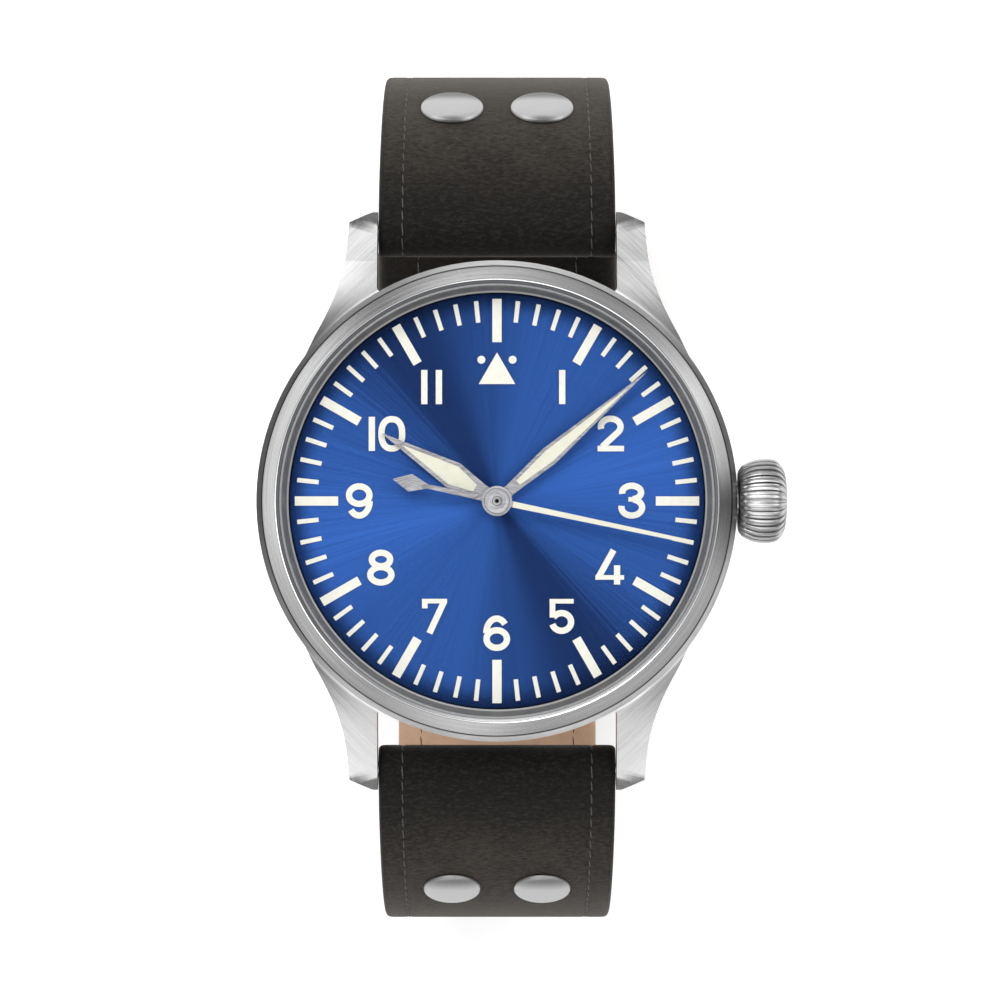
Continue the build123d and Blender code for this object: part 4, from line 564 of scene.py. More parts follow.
def nubuck(name, base_tint, dark_and_shade_tint, fold_painted_shade=True):
    """Nubuck leather: sanded matt grain with short level wrinkles, cloudy wear, and painted shade that
    darkens it towards the fold by the lugs.
    """
    material, tree, place = start_material(name)
    cloud = grain(tree, place, 0.2, 6.0, 0.62)
    pore = grain(tree, place, 5.0, 4.0, 0.8)
    stretched = add_node(tree, "ShaderNodeMapping", {"Vector": place, "Scale": (1.9, 3.8, 3.8)}).outputs[0]
    wrinkle = grain(tree, stretched, 1.0, 6.0, 0.8)
    base = mottled(tree, cloud, base_tint, 0.62, 1.22, 0.36, 0.64)
    base = blended(tree, spread(tree, wrinkle, 0.49, 0.64, 0.0, 0.75), base, shade(base_tint, 2.1))
    base = blended(tree, spread(tree, wrinkle, 0.36, 0.49, 0.85, 0.0), base, dark_and_shade_tint)
    base = blended(tree, spread(tree, pore, 0.3, 0.44, 0.6, 0.0), base, dark_and_shade_tint)
    if fold_painted_shade:
        # painted shade: the leather darkens towards the top, round the fold by the lugs
        height = axis_of(tree, place, "Z")
        near = spread(tree, height, -2.4, 3.4, 0.0, 0.92, "SMOOTHSTEP")
        base = blended(tree, near, base, dark_and_shade_tint)
        base = blended(tree, spread(tree, wrinkle, 0.49, 0.63, 0.0, 0.36), base, shade(base_tint, 1.5))
    rim = add_node(tree, "ShaderNodeAttribute", attribute_name="rim").outputs["Fac"]
    edge = spread(tree, rim, 0.1, 0.5, 0.75, 0.0)
    relief = mixed(tree, 0.6, pore, wrinkle)
    return finish_material(
        material, tree,
        Base_Color=blended(tree, edge, base, shade(dark_and_shade_tint, 0.8)),
        Roughness=spread(tree, pore, 0.3, 0.7, 0.75, 0.92),
        Specular_IOR_Level=0.15,
        Sheen_Weight=0.55,
        Sheen_Roughness=0.4,
        Sheen_Tint=(0.5, 0.47, 0.43, 1),
        Normal=bumped(tree, relief, 0.08),
    )


def calf_lining(colours):
    """Undyed calf lining: smooth tan with fine pores and a few darker patches from wear."""
    material, tree, place = start_material("undyed_calf_lining")
    cloud = grain(tree, place, 0.3, 4.0)
    pore = grain(tree, place, 7.0, 3.0, 0.7)
    base = mottled(tree, cloud, colours.lining, 0.86, 1.06, 0.3, 0.7)
    base = blended(tree, spread(tree, pore, 0.3, 0.45, 0.4, 0.0), base, shade(colours.lining, 0.6))
    return finish_material(
        material, tree,
        Base_Color=base,
        Roughness=spread(tree, pore, 0.3, 0.7, 0.6, 0.75),
        Specular_IOR_Level=0.3,
        Normal=bumped(tree, pore, 0.03),
    )


def waxed_thread(colours):
    """Waxed polyester thread: two plies whose twist shows as fine slanted bands."""
    material, tree, place = start_material("waxed_polyester_thread")
    bands = add_node(
        tree, "ShaderNodeTexWave", {"Vector": place, "Scale": 1.6, "Distortion": 1.0, "Detail": 1.0},
        bands_direction="DIAGONAL",
    ).outputs["Fac"]
    return finish_material(
        material, tree,
        Base_Color=blended(tree, bands, shade(colours.thread, 0.7), shade(colours.thread, 1.15)),
        Roughness=0.6,
        Sheen_Weight=0.2,
        Normal=bumped(tree, bands, 0.02),
    )


def tumbled_steel(colours):
    """Tumbled nickel-plated rivets: soft satin with tiny dents, and painted light and shade across each head.
    """
    material, tree, place = start_material("tumbled_nickel_plate")
    dents = grain(tree, place, 5.0, 3.0)
    upper = add_node(tree, "ShaderNodeAttribute", attribute_name="upper").outputs["Fac"]
    # painted light and shade across the head: dark at one edge, bright in the middle, darker towards the
    # other edge
    bands = tone_ramp(
        tree, spread(tree, upper, -1.0, 1.0, 0.0, 1.0),
        [(0.0, "#686868"), (0.12, "#ffffff"), (0.56, "#ffffff"), (0.82, "#b0b0b0"), (1.0, "#808080")],
    )
    base = blended(tree, 1.0, colours.rivet, bands, "MULTIPLY")
    return finish_metal(material, tree, base, dents, 0.46, 0.56, 0.006)


def striped_nickel(colours):
    """Nickel-plated bridges with broad ground stripes, each a run of fine strokes."""
    material, tree, place = start_material("striped_nickel_plate")
    turned = add_node(
        tree, "ShaderNodeMapping", {"Vector": place, "Rotation": (0, 0, radians(30))}
    ).outputs[0]
    across = axis_of(tree, turned, "Y")
    stripe = sum_of(tree, "PINGPONG", across, 1.6)
    stretched = add_node(tree, "ShaderNodeMapping", {"Vector": turned, "Scale": (7.0, 1.0, 1.0)}).outputs[0]
    lines = grain(tree, stretched, 1.0, 3.0)
    tone = spread(tree, stripe, 0.0, 1.6, 0.72, 1.06)
    ground = mottled(tree, lines, colours.nickel, 0.85, 1.0)
    scaled = add_node(tree, "ShaderNodeVectorMath", {0: ground, "Scale": tone}, operation="SCALE").outputs[0]
    return finish_metal(material, tree, scaled, lines, 0.22, 0.34, 0.004)


def grained_nickel(colours):
    """Nickel-plated main plate with a matt blasted grain."""
    material, tree, place = start_material("blasted_nickel_plate")
    grit = grain(tree, place, 11.0, 3.0)
    return finish_material(
        material, tree,
        Base_Color=blended(tree, grit, shade(colours.nickel, 0.7), shade(colours.nickel, 0.95)),
        Metallic=1.0,
        Roughness=0.45,
        Normal=bumped(tree, grit, 0.006),
    )


def gilt_brass(colours):
    """Gilded brass wheels with a fine even grain."""
    material, tree, place = start_material("gilded_brass")
    lines = grain(tree, place, 6.0, 4.0)
    return finish_metal(
        material, tree, blended(tree, lines, shade(colours.gilt, 0.8), shade(colours.gilt, 1.05)),
        lines, 0.2, 0.34, 0.003,
    )


def ruby_glass(colours):
    """Synthetic ruby: deep clear red with a polished face."""
    material, tree, place = start_material("synthetic_ruby")
    cloud = grain(tree, place, 2.0, 2.0)
    return finish_material(
        material, tree,
        Base_Color=blended(tree, cloud, shade(colours.ruby, 0.8), shade(colours.ruby, 1.15)),
        Roughness=0.08,
        IOR=1.76,
        Transmission_Weight=0.25,
    )


def blued_steel(colours):
    """Steel blued by heat, polished before it was coloured."""
    material, tree, place = start_material("heat_blued_steel")
    haze = grain(tree, place, 3.0, 3.0)
    return finish_material(
        material, tree,
        Base_Color=blended(tree, haze, shade(colours.blued, 0.8), shade(colours.blued, 1.3)),
        Metallic=1.0,
        Roughness=0.2,
    )


def satin_grey(name, code, roughness):
    """Moulded grey part with a fine even grain."""
    material, tree, place = start_material(name)
    grit = grain(tree, place, 9.0, 3.0)
    base = linear(code)
    return finish_material(
        material, tree,
        Base_Color=blended(tree, grit, shade(base, 0.88), shade(base, 1.08)),
        Roughness=roughness,
        Normal=bumped(tree, grit, 0.003),
    )


def polished_step():
    """Grey fluoro-rubber gasket under the crystal's polished edge, with painted light on its bottom half and
    painted bright and dark lines by radius.
    """
    material, tree, place = start_material("moulded_grey_gasket")
    grit = grain(tree, place, 9.0, 3.0)
    # painted light by degrees, brightest at the bottom
    painted_light_catch = tone_ramp(
        tree, turn_of(tree, place),
        [
            (0.0, "#6c6c6e"), (0.2, "#5a5b5f"), (0.58, "#5a5b5f"), (0.67, "#9c9c9e"), (0.75, "#e6e6e6"),
            (0.84, "#c4c4c6"), (1.0, "#6c6c6e"),
        ],
    )
    # painted tones by radius: bright lines of painted highlight and dark lines of painted shade
    lines = tone_ramp(
        tree, spread(tree, radius_of(tree, place), 17.9, 18.4, 0.0, 1.0),
        [
            (0.2, "#b0b0b0"), (0.28, "#606060"), (0.36, "#d0d0d0"), (0.56, "#e0e0e0"), (0.66, "#ffffff"),
            (0.8, "#585858"),
        ],
        "LINEAR",
    )
    painted_light_catch = blended(tree, 1.0, shade_node(tree, painted_light_catch, 1.25), lines, "MULTIPLY")
    return finish_material(
        material, tree,
        Base_Color=blended(tree, grit, shade_node(tree, painted_light_catch, 0.88), shade_node(tree, painted_light_catch, 1.08)),
        Roughness=0.35,
        Normal=bumped(tree, grit, 0.003),
    )


def flange_steel():
    """Anodised aluminium flange, turned in rings: grey slope; painted by radius, a bright rim line and a
    glint as painted highlights, and a dark line and a dark foot by the dial as painted shade.
    """
    material, tree, place = start_material("anodised_turned_flange")
    lines = grain(tree, polar_place(tree, place, 0.8, 10.0), 1.0, 4.0, 0.7)
    metal = blended(tree, spread(tree, lines, 0.34, 0.66, 0.0, 1.0), linear("#74736f"), linear("#a4a39e"))
    reach = spread(tree, radius_of(tree, place), 17.2, 18.1, 0.0, 1.0)
    # painted tones by radius: a dark foot and a dark line of painted shade, a bright slope and rim line
    step = tone_ramp(
        tree, reach,
        [
            (0.1, "#101010"), (0.17, "#1c1c1c"), (0.3, "#f0f0f0"), (0.66, "#e4e4e4"), (0.7, "#646464"),
            (0.76, "#e0e0e0"), (0.94, "#d8d8d8"), (1.0, "#888888"),
        ],
        "LINEAR",
    )
    metal = multiplied(tree, metal, step)
    # a painted highlight by the dial
    painted_glint = tone_ramp(
        tree, reach, [(0.12, "#000000"), (0.17, "#dcdcd8"), (0.26, "#dcdcd8"), (0.32, "#000000")]
    )
    return finish_material(
        material, tree,
        Base_Color=blended(tree, 1.0, metal, painted_glint, "SCREEN"),
        Metallic=0.3,
        Roughness=0.45,
        Specular_IOR_Level=0.2,
        Normal=bumped(tree, lines, 0.003),
    )


def clear_crystal():
    """Flat sapphire crystal with an anti-reflective coating: only a trace of it shows, most at its bevel,
    where its light grey is a painted reflection.
    """
    material, tree, place = start_material("coated_sapphire_crystal")
    radius = radius_of(tree, place)
    # painted reflection: light grey and more opaque at the bevel, near black and almost clear inside it
    rim = spread(tree, radius, 17.7, 17.9, 0.0, 1.0)
    bevel = spread(tree, radius, 17.75, 17.85, 0.012, 0.3)
    return finish_material(
        material, tree,
        Base_Color=blended(tree, rim, linear("#101114"), linear("#d8dadc")),
        Roughness=0.03,
        IOR=1.77,
        Alpha=bevel,
    )


# Shapes


def deselect():
    bpy.ops.object.select_all(action="DESELECT")


def choose(piece):
    deselect()
    piece.select_set(True)
    bpy.context.view_layer.objects.active = piece


def settle(piece, body, slot, material, *replaced):
    """Gives a finished piece its material and its body; its slot is not used."""
    piece.data.materials.clear()
    piece.data.materials.append(material)
    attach(piece, body)
    if replaced:
        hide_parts(*replaced)


def apply_all(piece):
    choose(piece)
    for modifier in list(piece.modifiers):
        bpy.ops.object.modifier_apply(modifier=modifier.name)


def tidy_shell(piece, merge_mm=0.0005, angle=40):
    """Merges doubles, turns the faces outwards and smooths all but the sharp edges."""
    choose(piece)
    bpy.ops.object.mode_set(mode="EDIT")
    bpy.ops.mesh.select_all(action="SELECT")
    bpy.ops.mesh.remove_doubles(threshold=merge_mm * MM)
    bpy.ops.mesh.normals_make_consistent(inside=False)
    bpy.ops.object.mode_set(mode="OBJECT")
    bpy.ops.object.shade_smooth_by_angle(angle=radians(angle))


def round_edges(piece, wide_mm):
    modifier = piece.modifiers.new("rounded edges", "BEVEL")
    modifier.width = wide_mm * MM
    modifier.segments = 2
    modifier.limit_method = "ANGLE"
    modifier.angle_limit = radians(50)
    apply_all(piece)


def combined(piece, others, operation):
    """Joins other solids to a piece or cuts them out of it, then removes them."""
    for other in others:
        modifier = piece.modifiers.new("solid", "BOOLEAN")
        modifier.object = other
        modifier.operation = operation
        modifier.solver = "EXACT"
    apply_all(piece)
    for other in others:
        bpy.data.objects.remove(other)
    return piece


def joined(pieces, name):
    deselect()
    for piece in pieces:
        piece.select_set(True)
    bpy.context.view_layer.objects.active = pieces[0]
    bpy.ops.object.join()
    whole = bpy.context.view_layer.objects.active
    whole.name = name
    return whole


def copies(shape, places, name):
    """Copies one modelled shape to many places, then joins the copies into one piece."""
    made = []
    for place in places:
        copy = shape.copy()
        copy.data = shape.data.copy()
        copy.data.transform(place)
        bpy.context.collection.objects.link(copy)
        made.append(copy)
    bpy.data.objects.remove(shape)
    return joined(made, name)


def shaped_mesh(name, points, faces):
    """A new object from points in millimetres and their faces."""
    mesh = bpy.data.meshes.new(name)
    mesh.from_pydata([tuple(part * MM for part in point) for point in points], [], faces)
    mesh.update()
    piece = bpy.data.objects.new(name, mesh)
    bpy.context.collection.objects.link(piece)
    return piece


def turned_piece(name, profile, sides, ridge=None):
    """A lathe shape round X, from a grid wrapped round the profile of places and radii."""
    deselect()
    bpy.ops.mesh.primitive_grid_add(x_subdivisions=sides, y_subdivisions=len(profile) - 1, size=2)
    piece = bpy.context.object
    piece.name = name
    valley = piece.data.attributes.new("valley", "FLOAT", "POINT")
    for index, vertex in enumerate(piece.data.vertices):
        row = round((vertex.co.y + 1) / 2 * (len(profile) - 1))
        angle = (vertex.co.x + 1) * pi
        place, radius = profile[row][:2]
        sink = ridge(angle) * profile[row][2] if ridge else 0.0
        valley.data[index].value = sink / max(ridge(0.0, True), 1e-9) if ridge else 0.0
        reach = radius - sink
        vertex.co = Vector((place, reach * cos(angle), reach * sin(angle))) * MM
    tidy_shell(piece, 0.002)
    return piece


# Strap


def arc_point(centre, radius, angle):
    return centre[0] + radius * cos(radians(angle)), centre[1] + radius * sin(radians(angle))


def strap_route(strap):
    """Centre and turning radius of the strap's path, and its first angle on the big arc."""
    middle_y = strap["reach"] - strap["sweep"]
    middle_z = BAR_Z - sqrt((strap["sweep"] - FOLD_R) ** 2 - (BAR_Y - middle_y) ** 2)
    start = degrees(atan2(BAR_Z - middle_z, BAR_Y - middle_y))
    return (middle_y, middle_z), middle_z - strap["flat"], start


def route_point(strap, kind, value, depth):
    """A point of the strap's path at a depth below its outer face."""
    middle, turn_r, _ = strap_route(strap)
    if kind == "sweep":
        return arc_point(middle, strap["sweep"] - depth, value)
    if kind == "turn":
        return arc_point((strap["reach"] - turn_r, middle[1]), turn_r - depth, value)
    return value, strap["flat"] + depth


def near_bar(strap, depth, distance):
    """Angle on the big arc where a depth is a distance from the spring bar."""
    outer = strap["sweep"] - FOLD_R
    inner = strap["sweep"] - depth
    return strap_route(strap)[2] - degrees(acos((inner**2 + outer**2 - distance**2) / (2 * inner * outer)))


def route_steps(strap, first_angle):
    """Steps along the path below an angle on the big arc, to the strap's end."""
    turn_r = strap_route(strap)[1]
    steps = [("sweep", first_angle * (1 - share / 20)) for share in range(21)]
    steps += [("turn", -90 * share / 20) for share in range(1, 21)]
    turn_y = strap["reach"] - turn_r
    stop = strap["end"] + (0.9 if strap["pinned"] else TAIL_R)
    count = round((turn_y - stop) / 2.5)
    steps += [("flat", turn_y + (stop - turn_y) * share / count) for share in range(1, count + 1)]
    if not strap["pinned"]:
        steps += [("flat", strap["end"] + TAIL_R - TAIL_R * sin(radians(turn))) for turn in range(10, 91, 10)]
    return steps


def spread_between(first, last, count):
    return [first + (last - first) * step / count for step in range(count + 1)]


def leather_stations(strap):
    """Outer and inner points of the outer leather, from its tucked end round the bar to its other end."""
    start = strap_route(strap)[2]
    bar = (BAR_Y, BAR_Z)
    tuck = SKIN + 0.03
    stations = []
    for outer, inner in zip(
        spread_between(near_bar(strap, THICK, TUCK), near_bar(strap, THICK, FOLD_R), 4),
        spread_between(near_bar(strap, tuck, TUCK), near_bar(strap, tuck, FOLD_BORE), 4),
    ):
        stations.append((route_point(strap, "sweep", outer, THICK), route_point(strap, "sweep", inner, tuck)))
    outer_from = start + 270 - degrees(asin((THICK - FOLD_R) / FOLD_R))
    inner_from = start + 270 + degrees(asin((FOLD_R - SKIN) / FOLD_BORE))
    for outer, inner in zip(
        spread_between(outer_from, start, 28)[1:], spread_between(inner_from, inner_from - 358, 28)[1:]
    ):
        stations.append((arc_point(bar, FOLD_R, outer), arc_point(bar, FOLD_BORE, inner)))
    for kind, value in route_steps(strap, near_bar(strap, SKIN, FOLD_BORE) - 1.0):
        stations.append((route_point(strap, kind, value, 0), route_point(strap, kind, value, SKIN)))
    if strap["pinned"]:
        pin = (strap["end"], PIN_Z)
        inner_from = -degrees(asin((PIN_FOLD_R - SKIN) / PIN_BORE))
        outer_to = -360 + degrees(asin((THICK - PIN_FOLD_R) / PIN_FOLD_R))
        for outer, inner in zip(
            spread_between(-90, outer_to, 28), spread_between(inner_from, inner_from - 358, 28)
        ):
            stations.append((arc_point(pin, PIN_FOLD_R, outer), arc_point(pin, PIN_BORE, inner)))
        for outer, inner in zip(spread_between(1.6, 3.1, 3), spread_between(0.9, 3.39, 3)):
            stations.append(
                ((strap["end"] + outer, strap["flat"] + THICK), (strap["end"] + inner, strap["flat"] + tuck))
            )
    return stations


def lining_stations(strap):
    """Outer and inner points of the lining, which starts and ends where the leather is tucked under."""
    clear = TUCK + 0.06
    top = SKIN + 0.02
    stations = [
        (
            route_point(strap, "sweep", near_bar(strap, top, clear), top),
            route_point(strap, "sweep", near_bar(strap, THICK, clear), THICK),
        )
    ]
    for kind, value in route_steps(strap, near_bar(strap, SKIN, clear) - 1.0):
        if kind == "flat" and strap["pinned"] and value < strap["end"] + clear:
            continue
        stations.append((route_point(strap, kind, value, top), route_point(strap, kind, value, THICK)))
    if strap["pinned"]:
        edge = strap["end"] + clear
        stations.append(((edge, strap["flat"] + top), (edge, strap["flat"] + THICK)))
    return stations


def strap_half(strap, point):
    """Half the strap's width at a point of its side view."""
    level = point[1]
    low = FLAT_12 + THICK
    if level > TAPER_Z:
        half = LUG_HALF
    elif level > BEND_Z:
        half = BEND_HALF + (LUG_HALF - BEND_HALF) * (level - BEND_Z) / (TAPER_Z - BEND_Z)
    else:
        half = END_HALF + (BEND_HALF - END_HALF) * max(level - low, 0) / (BEND_Z - low)
    if not strap["pinned"] and level < strap["flat"] + THICK + 0.1:
        left = point[0] - strap["end"]
        if left < TAIL_R:
            half -= TAIL_R - sqrt(max(TAIL_R**2 - (TAIL_R - left) ** 2, 0))
    return half


EDGE_COLUMNS = ((0.0, 0.3), (0.1, 0.13), (0.25, 0.04), (0.55, 0.0))
SEAM_COLUMNS = ((1.72, 0.0), (2.0, 1.0), (2.28, 0.0), (3.1, 0.0))


def ribbon(name, stations, half_at, place, closed=False, seam=0.0, narrow=0.0):
    """A strip with thickness that follows the stations, with rounded edges and two sunk seams."""
    columns = [(inset, sink, 0.0) for inset, sink in EDGE_COLUMNS]
    columns += [(inset, 0.0, share * seam) for inset, share in SEAM_COLUMNS]
    ring = 2 * (2 * len(columns) + 4)
    points, rims = [], []
    for outer, inner in stations:
        half = half_at(outer) - narrow
        fit = min(1.0, half / 3.4)
        left = [(-(half - inset * fit), inset, sink + dip) for inset, sink, dip in columns]
        span = half - columns[-1][0] * fit
        middle = [(span * share, 9.0, 0.0) for share in (-0.6, -0.2, 0.2, 0.6)]
        across = left + middle + [(-x, inset, sink) for x, inset, sink in reversed(left)]
        thick = max(hypot(outer[0] - inner[0], outer[1] - inner[1]), 0.01)
        for base, other, order in ((outer, inner, across), (inner, outer, across[::-1])):
            for x, inset, sink in order:
                share = min(sink / thick, 0.45)
                y, z = (start + (end - start) * share for start, end in zip(base, other))
                points.append(place(x, y, z))
                rims.append(inset)
    count = len(stations)
    faces = []
    for station in range(count if closed else count - 1):
        first, second = station * ring, (station + 1) % count * ring
        for step in range(ring):
            after = (step + 1) % ring
            faces.append((first + step, first + after, second + after, second + step))
    if not closed:
        for first in (0, (count - 1) * ring):
            for step in range(ring // 2 - 1):
                near, far = first + step, first + ring - 1 - step
                faces.append((near, near + 1, far - 1, far))
    piece = shaped_mesh(name, points, faces)
    rim = piece.data.attributes.new("rim", "FLOAT", "POINT")
    for index, value in enumerate(rims):
        rim.data[index].value = value
    tidy_shell(piece)
    return piece


def strap_place(strap):
    return lambda x, y, z: (x, strap["side"] * y, z)


def oval_cutter(middle_y, low, high, half_wide, half_long):
    """A rounded punch through the flat end of the strap."""
    deselect()
    bpy.ops.mesh.primitive_cylinder_add(vertices=32, radius=MM, depth=(high - low) * MM)
    cutter = bpy.context.object
    for vertex in cutter.data.vertices:
        push = (half_long - half_wide) * (1 if vertex.co.y > 0 else -1)
        vertex.co.x *= half_wide
        vertex.co.y = vertex.co.y * half_wide + (push + middle_y) * MM
        vertex.co.z += (low + high) / 2 * MM
    return cutter


def seam_frames(strap, sizes, inner):
    """Places of the stitches along both edges, on the outer face or on the lining."""
    pitch = sizes.stitch_pitch / MM
    inset = sizes.stitch_inset / MM
    depth = THICK if inner else 0.0
    start = strap_route(strap)[2]
    first = near_bar(strap, THICK, TUCK) - 1.5 if inner else start
    line = [route_point(strap, kind, value, depth) for kind, value in route_steps(strap, first)]
    if not inner:
        fold = [arc_point((BAR_Y, BAR_Z), FOLD_R, angle) for angle in spread_between(176, start, 14)]
        line = fold + line[1:]
    stop = strap["end"] + (4.0 if strap["pinned"] else TAIL_R)
    face = -1 if inner else 1
    frames = []
    travelled = 0.0
    wanted = pitch / 2
    for before, after in zip(line, line[1:]):
        run = hypot(after[0] - before[0], after[1] - before[1])
        if run < 1e-6:
            continue
        way = ((after[0] - before[0]) / run, (after[1] - before[1]) / run)
        out = (0, -way[1] * face, way[0] * face)
        while wanted <= travelled + run:
            share = wanted - travelled
            y, z = before[0] + way[0] * share, before[1] + way[1] * share
            wanted += pitch
            if y < stop and z < strap["flat"] + THICK + 0.1:
                continue
            half = strap_half(strap, (y, z)) - inset
            for x in (-half, half):
                frames.append((x, y - out[1] * THREAD_SINK, z - out[2] * THREAD_SINK, (0, *way), out))
        travelled += run
    return frames


def tail_frames(strap, sizes, inner):
    """Places of the stitches that go round the rounded end of the strap."""
    pitch = sizes.stitch_pitch / MM
    inset = sizes.stitch_inset / MM
    half = strap_half(strap, (0.0, strap["flat"]))
    corner = half - TAIL_R
    turn_r = TAIL_R - inset
    level = strap["flat"] + (THICK - THREAD_SINK if inner else THREAD_SINK)
    up = (0, 0, 1) if inner else (0, 0, -1)
    frames = []
    count = round((turn_r * pi / 2) / pitch)
    for side in (-1, 1):
        for step in range(count):
            angle = radians(90 * (step + 0.5) / count)
            x = side * (corner + turn_r * cos(angle))
            y = strap["end"] + TAIL_R - turn_r * sin(angle)
            frames.append((x, y, level, (-side * sin(angle), -cos(angle), 0), up))
    across = round(2 * corner / pitch)
    for step in range(across):
        x = -corner + 2 * corner * (step + 0.5) / across
        frames.append((x, strap["end"] + inset, level, (1, 0, 0), up))
    return frames


def stitch_matrix(frame_at, side):
    """Turns a stitch along its seam with its crown facing out."""
    x, y, z, way, out = frame_at
    along = Vector((way[0], side * way[1], way[2])).normalized()
    up = Vector((out[0], side * out[1], out[2])).normalized()
    across = up.cross(along).normalized()
    turn = Matrix((along, across, up)).transposed().to_4x4()
    return Matrix.Translation(Vector((x, side * y, z)) * MM) @ turn @ Matrix.Rotation(THREAD_SLANT, 4, "Z")


def thread_stitch(sizes):
    """One stitch: a short rod of thread whose ends dive into the leather."""
    deselect()
    bpy.ops.mesh.primitive_uv_sphere_add(segments=6, ring_count=5, radius=0.5)
    stitch = bpy.context.object
    stitch.data.transform(Matrix.Rotation(pi / 2, 4, "Y"))
    for vertex in stitch.data.vertices:
        share = min(abs(vertex.co.x) * 2, 1.0)
        vertex.co.x = (1 if vertex.co.x > 0 else -1) * share**0.7 * sizes.stitch_long / 2 if share else 0.0
        vertex.co.y *= sizes.thread_wide
        vertex.co.z = vertex.co.z * sizes.thread_wide - share**4 * THREAD_DIVE * MM
    choose(stitch)
    bpy.ops.object.shade_smooth()
    return stitch


# Dial print


def curve_points(centre, radii, first, last, count=18, square=2.0):
    """Points round an oval, which a higher square makes boxier."""
    points = []
    for step in range(count + 1):
        angle = radians(first + (last - first) * step / count)
        c, s = cos(angle), sin(angle)
        x = (abs(c) ** (2 / square)) * (1 if c >= 0 else -1)
        y = (abs(s) ** (2 / square)) * (1 if s >= 0 else -1)
        points.append((centre[0] + radii[0] * x, centre[1] + radii[1] * y))
    return points


def numeral_strokes(character):
    """Middle lines of a numeral's strokes, and whether each is a thick or a thin stroke."""
    if character == "0":
        return [(curve_points((0, 0), (0.86, 1.22), 0, 360, 40, 2.35), "thick")]
    if character == "1":
        return [([(0, 1.42), (0, -1.42)], "thick")]
    if character == "2":
        bowl = curve_points((-0.01, 0.56), (0.82, 0.67), 196, -42)
        return [(bowl + [(-0.72, -1.1)], "thick"), ([(-1.1, -1.25), (1.1, -1.25)], "wide")]
    if character == "3":
        upper = curve_points((-0.03, 0.69), (0.79, 0.56), 192, -82)
        lower = curve_points((-0.02, -0.56), (0.86, 0.67), 82, -192)
        return [(upper, "thick"), (lower, "thick"), ([(-0.3, 0.12), (0.12, 0.12)], "thin")]
    if character == "4":
        return [
            ([(0.33, 1.43), (-0.93, -0.84)], "thick"),
            ([(-1.18, -0.84), (1.2, -0.84)], "thin"),
            ([(0.62, 0.17), (0.62, -1.43)], "thick"),
        ]
    if character == "5":
        bowl = curve_points((-0.02, -0.47), (0.79, 0.74), 148, -165)
        return [
            ([(-1.02, 1.25), (0.98, 1.25)], "thin"),
            ([(-0.78, 1.43), (-0.78, -0.1)], "wide"),
            (bowl, "thick"),
        ]
    if character == "6":
        ring = curve_points((0.02, -0.49), (0.85, 0.73), 0, 360, 34)
        tail = curve_points((0.02, 0.0), (0.87, 1.21), 180, 38)
        return [(ring, "thick"), (tail, "thick")]
    if character == "7":
        return [
            ([(-1.03, 1.24), (1.05, 1.24)], "thin"),
            ([(-0.8, 1.42), (-0.8, 0.64)], "wide"),
            ([(0.8, 1.2), (-0.42, -1.43)], "thick"),
        ]
    if character == "8":
        upper = curve_points((0.01, 0.68), (0.76, 0.56), 0, 360, 32)
        lower = curve_points((0.0, -0.59), (0.88, 0.64), 0, 360, 32)
        return [(upper, "thick"), (lower, "thick")]
    if character == "9":
        ring = curve_points((-0.02, 0.49), (0.85, 0.73), 0, 360, 34)
        tail = curve_points((-0.02, 0.0), (0.87, 1.21), 0, -142)
        return [(ring, "thick"), (tail, "thick")]
    raise ValueError(f"no strokes for {character}")


def stroke_mesh(line, wide, base):
    """A flat strip along a line, square at its ends and mitred at its corners."""
    closed = hypot(line[0][0] - line[-1][0], line[0][1] - line[-1][1]) < 1e-6
    if closed:
        line = line[:-1]
    count = len(line)
    points = []
    for index, here in enumerate(line):
        before = line[(index - 1) % count] if closed or index else None
        after = line[(index + 1) % count] if closed or index < count - 1 else None
        first = atan2(here[1] - before[1], here[0] - before[0]) if before else None
        last = atan2(after[1] - here[1], after[0] - here[0]) if after else first
        first = last if first is None else first
        turn = (last - first + pi) % (2 * pi) - pi
        lean = first + turn / 2
        reach = wide / 2 / max(cos(turn / 2), 0.5)
        points.append((here[0] - reach * sin(lean), here[1] + reach * cos(lean), base))
        points.append((here[0] + reach * sin(lean), here[1] - reach * cos(lean), base))
    faces = []
    for index in range(count if closed else count - 1):
        after = (index + 1) % count
        faces.append((2 * index, 2 * index + 1, 2 * after + 1, 2 * after))
    piece = shaped_mesh("stroke", points, faces)
    choose(piece)
    bpy.ops.object.mode_set(mode="EDIT")
    bpy.ops.mesh.select_all(action="SELECT")
    bpy.ops.mesh.normals_make_consistent(inside=False)
    bpy.ops.object.mode_set(mode="OBJECT")
    if piece.data.polygons[0].normal.z < 0:
        piece.data.flip_normals()
    return piece


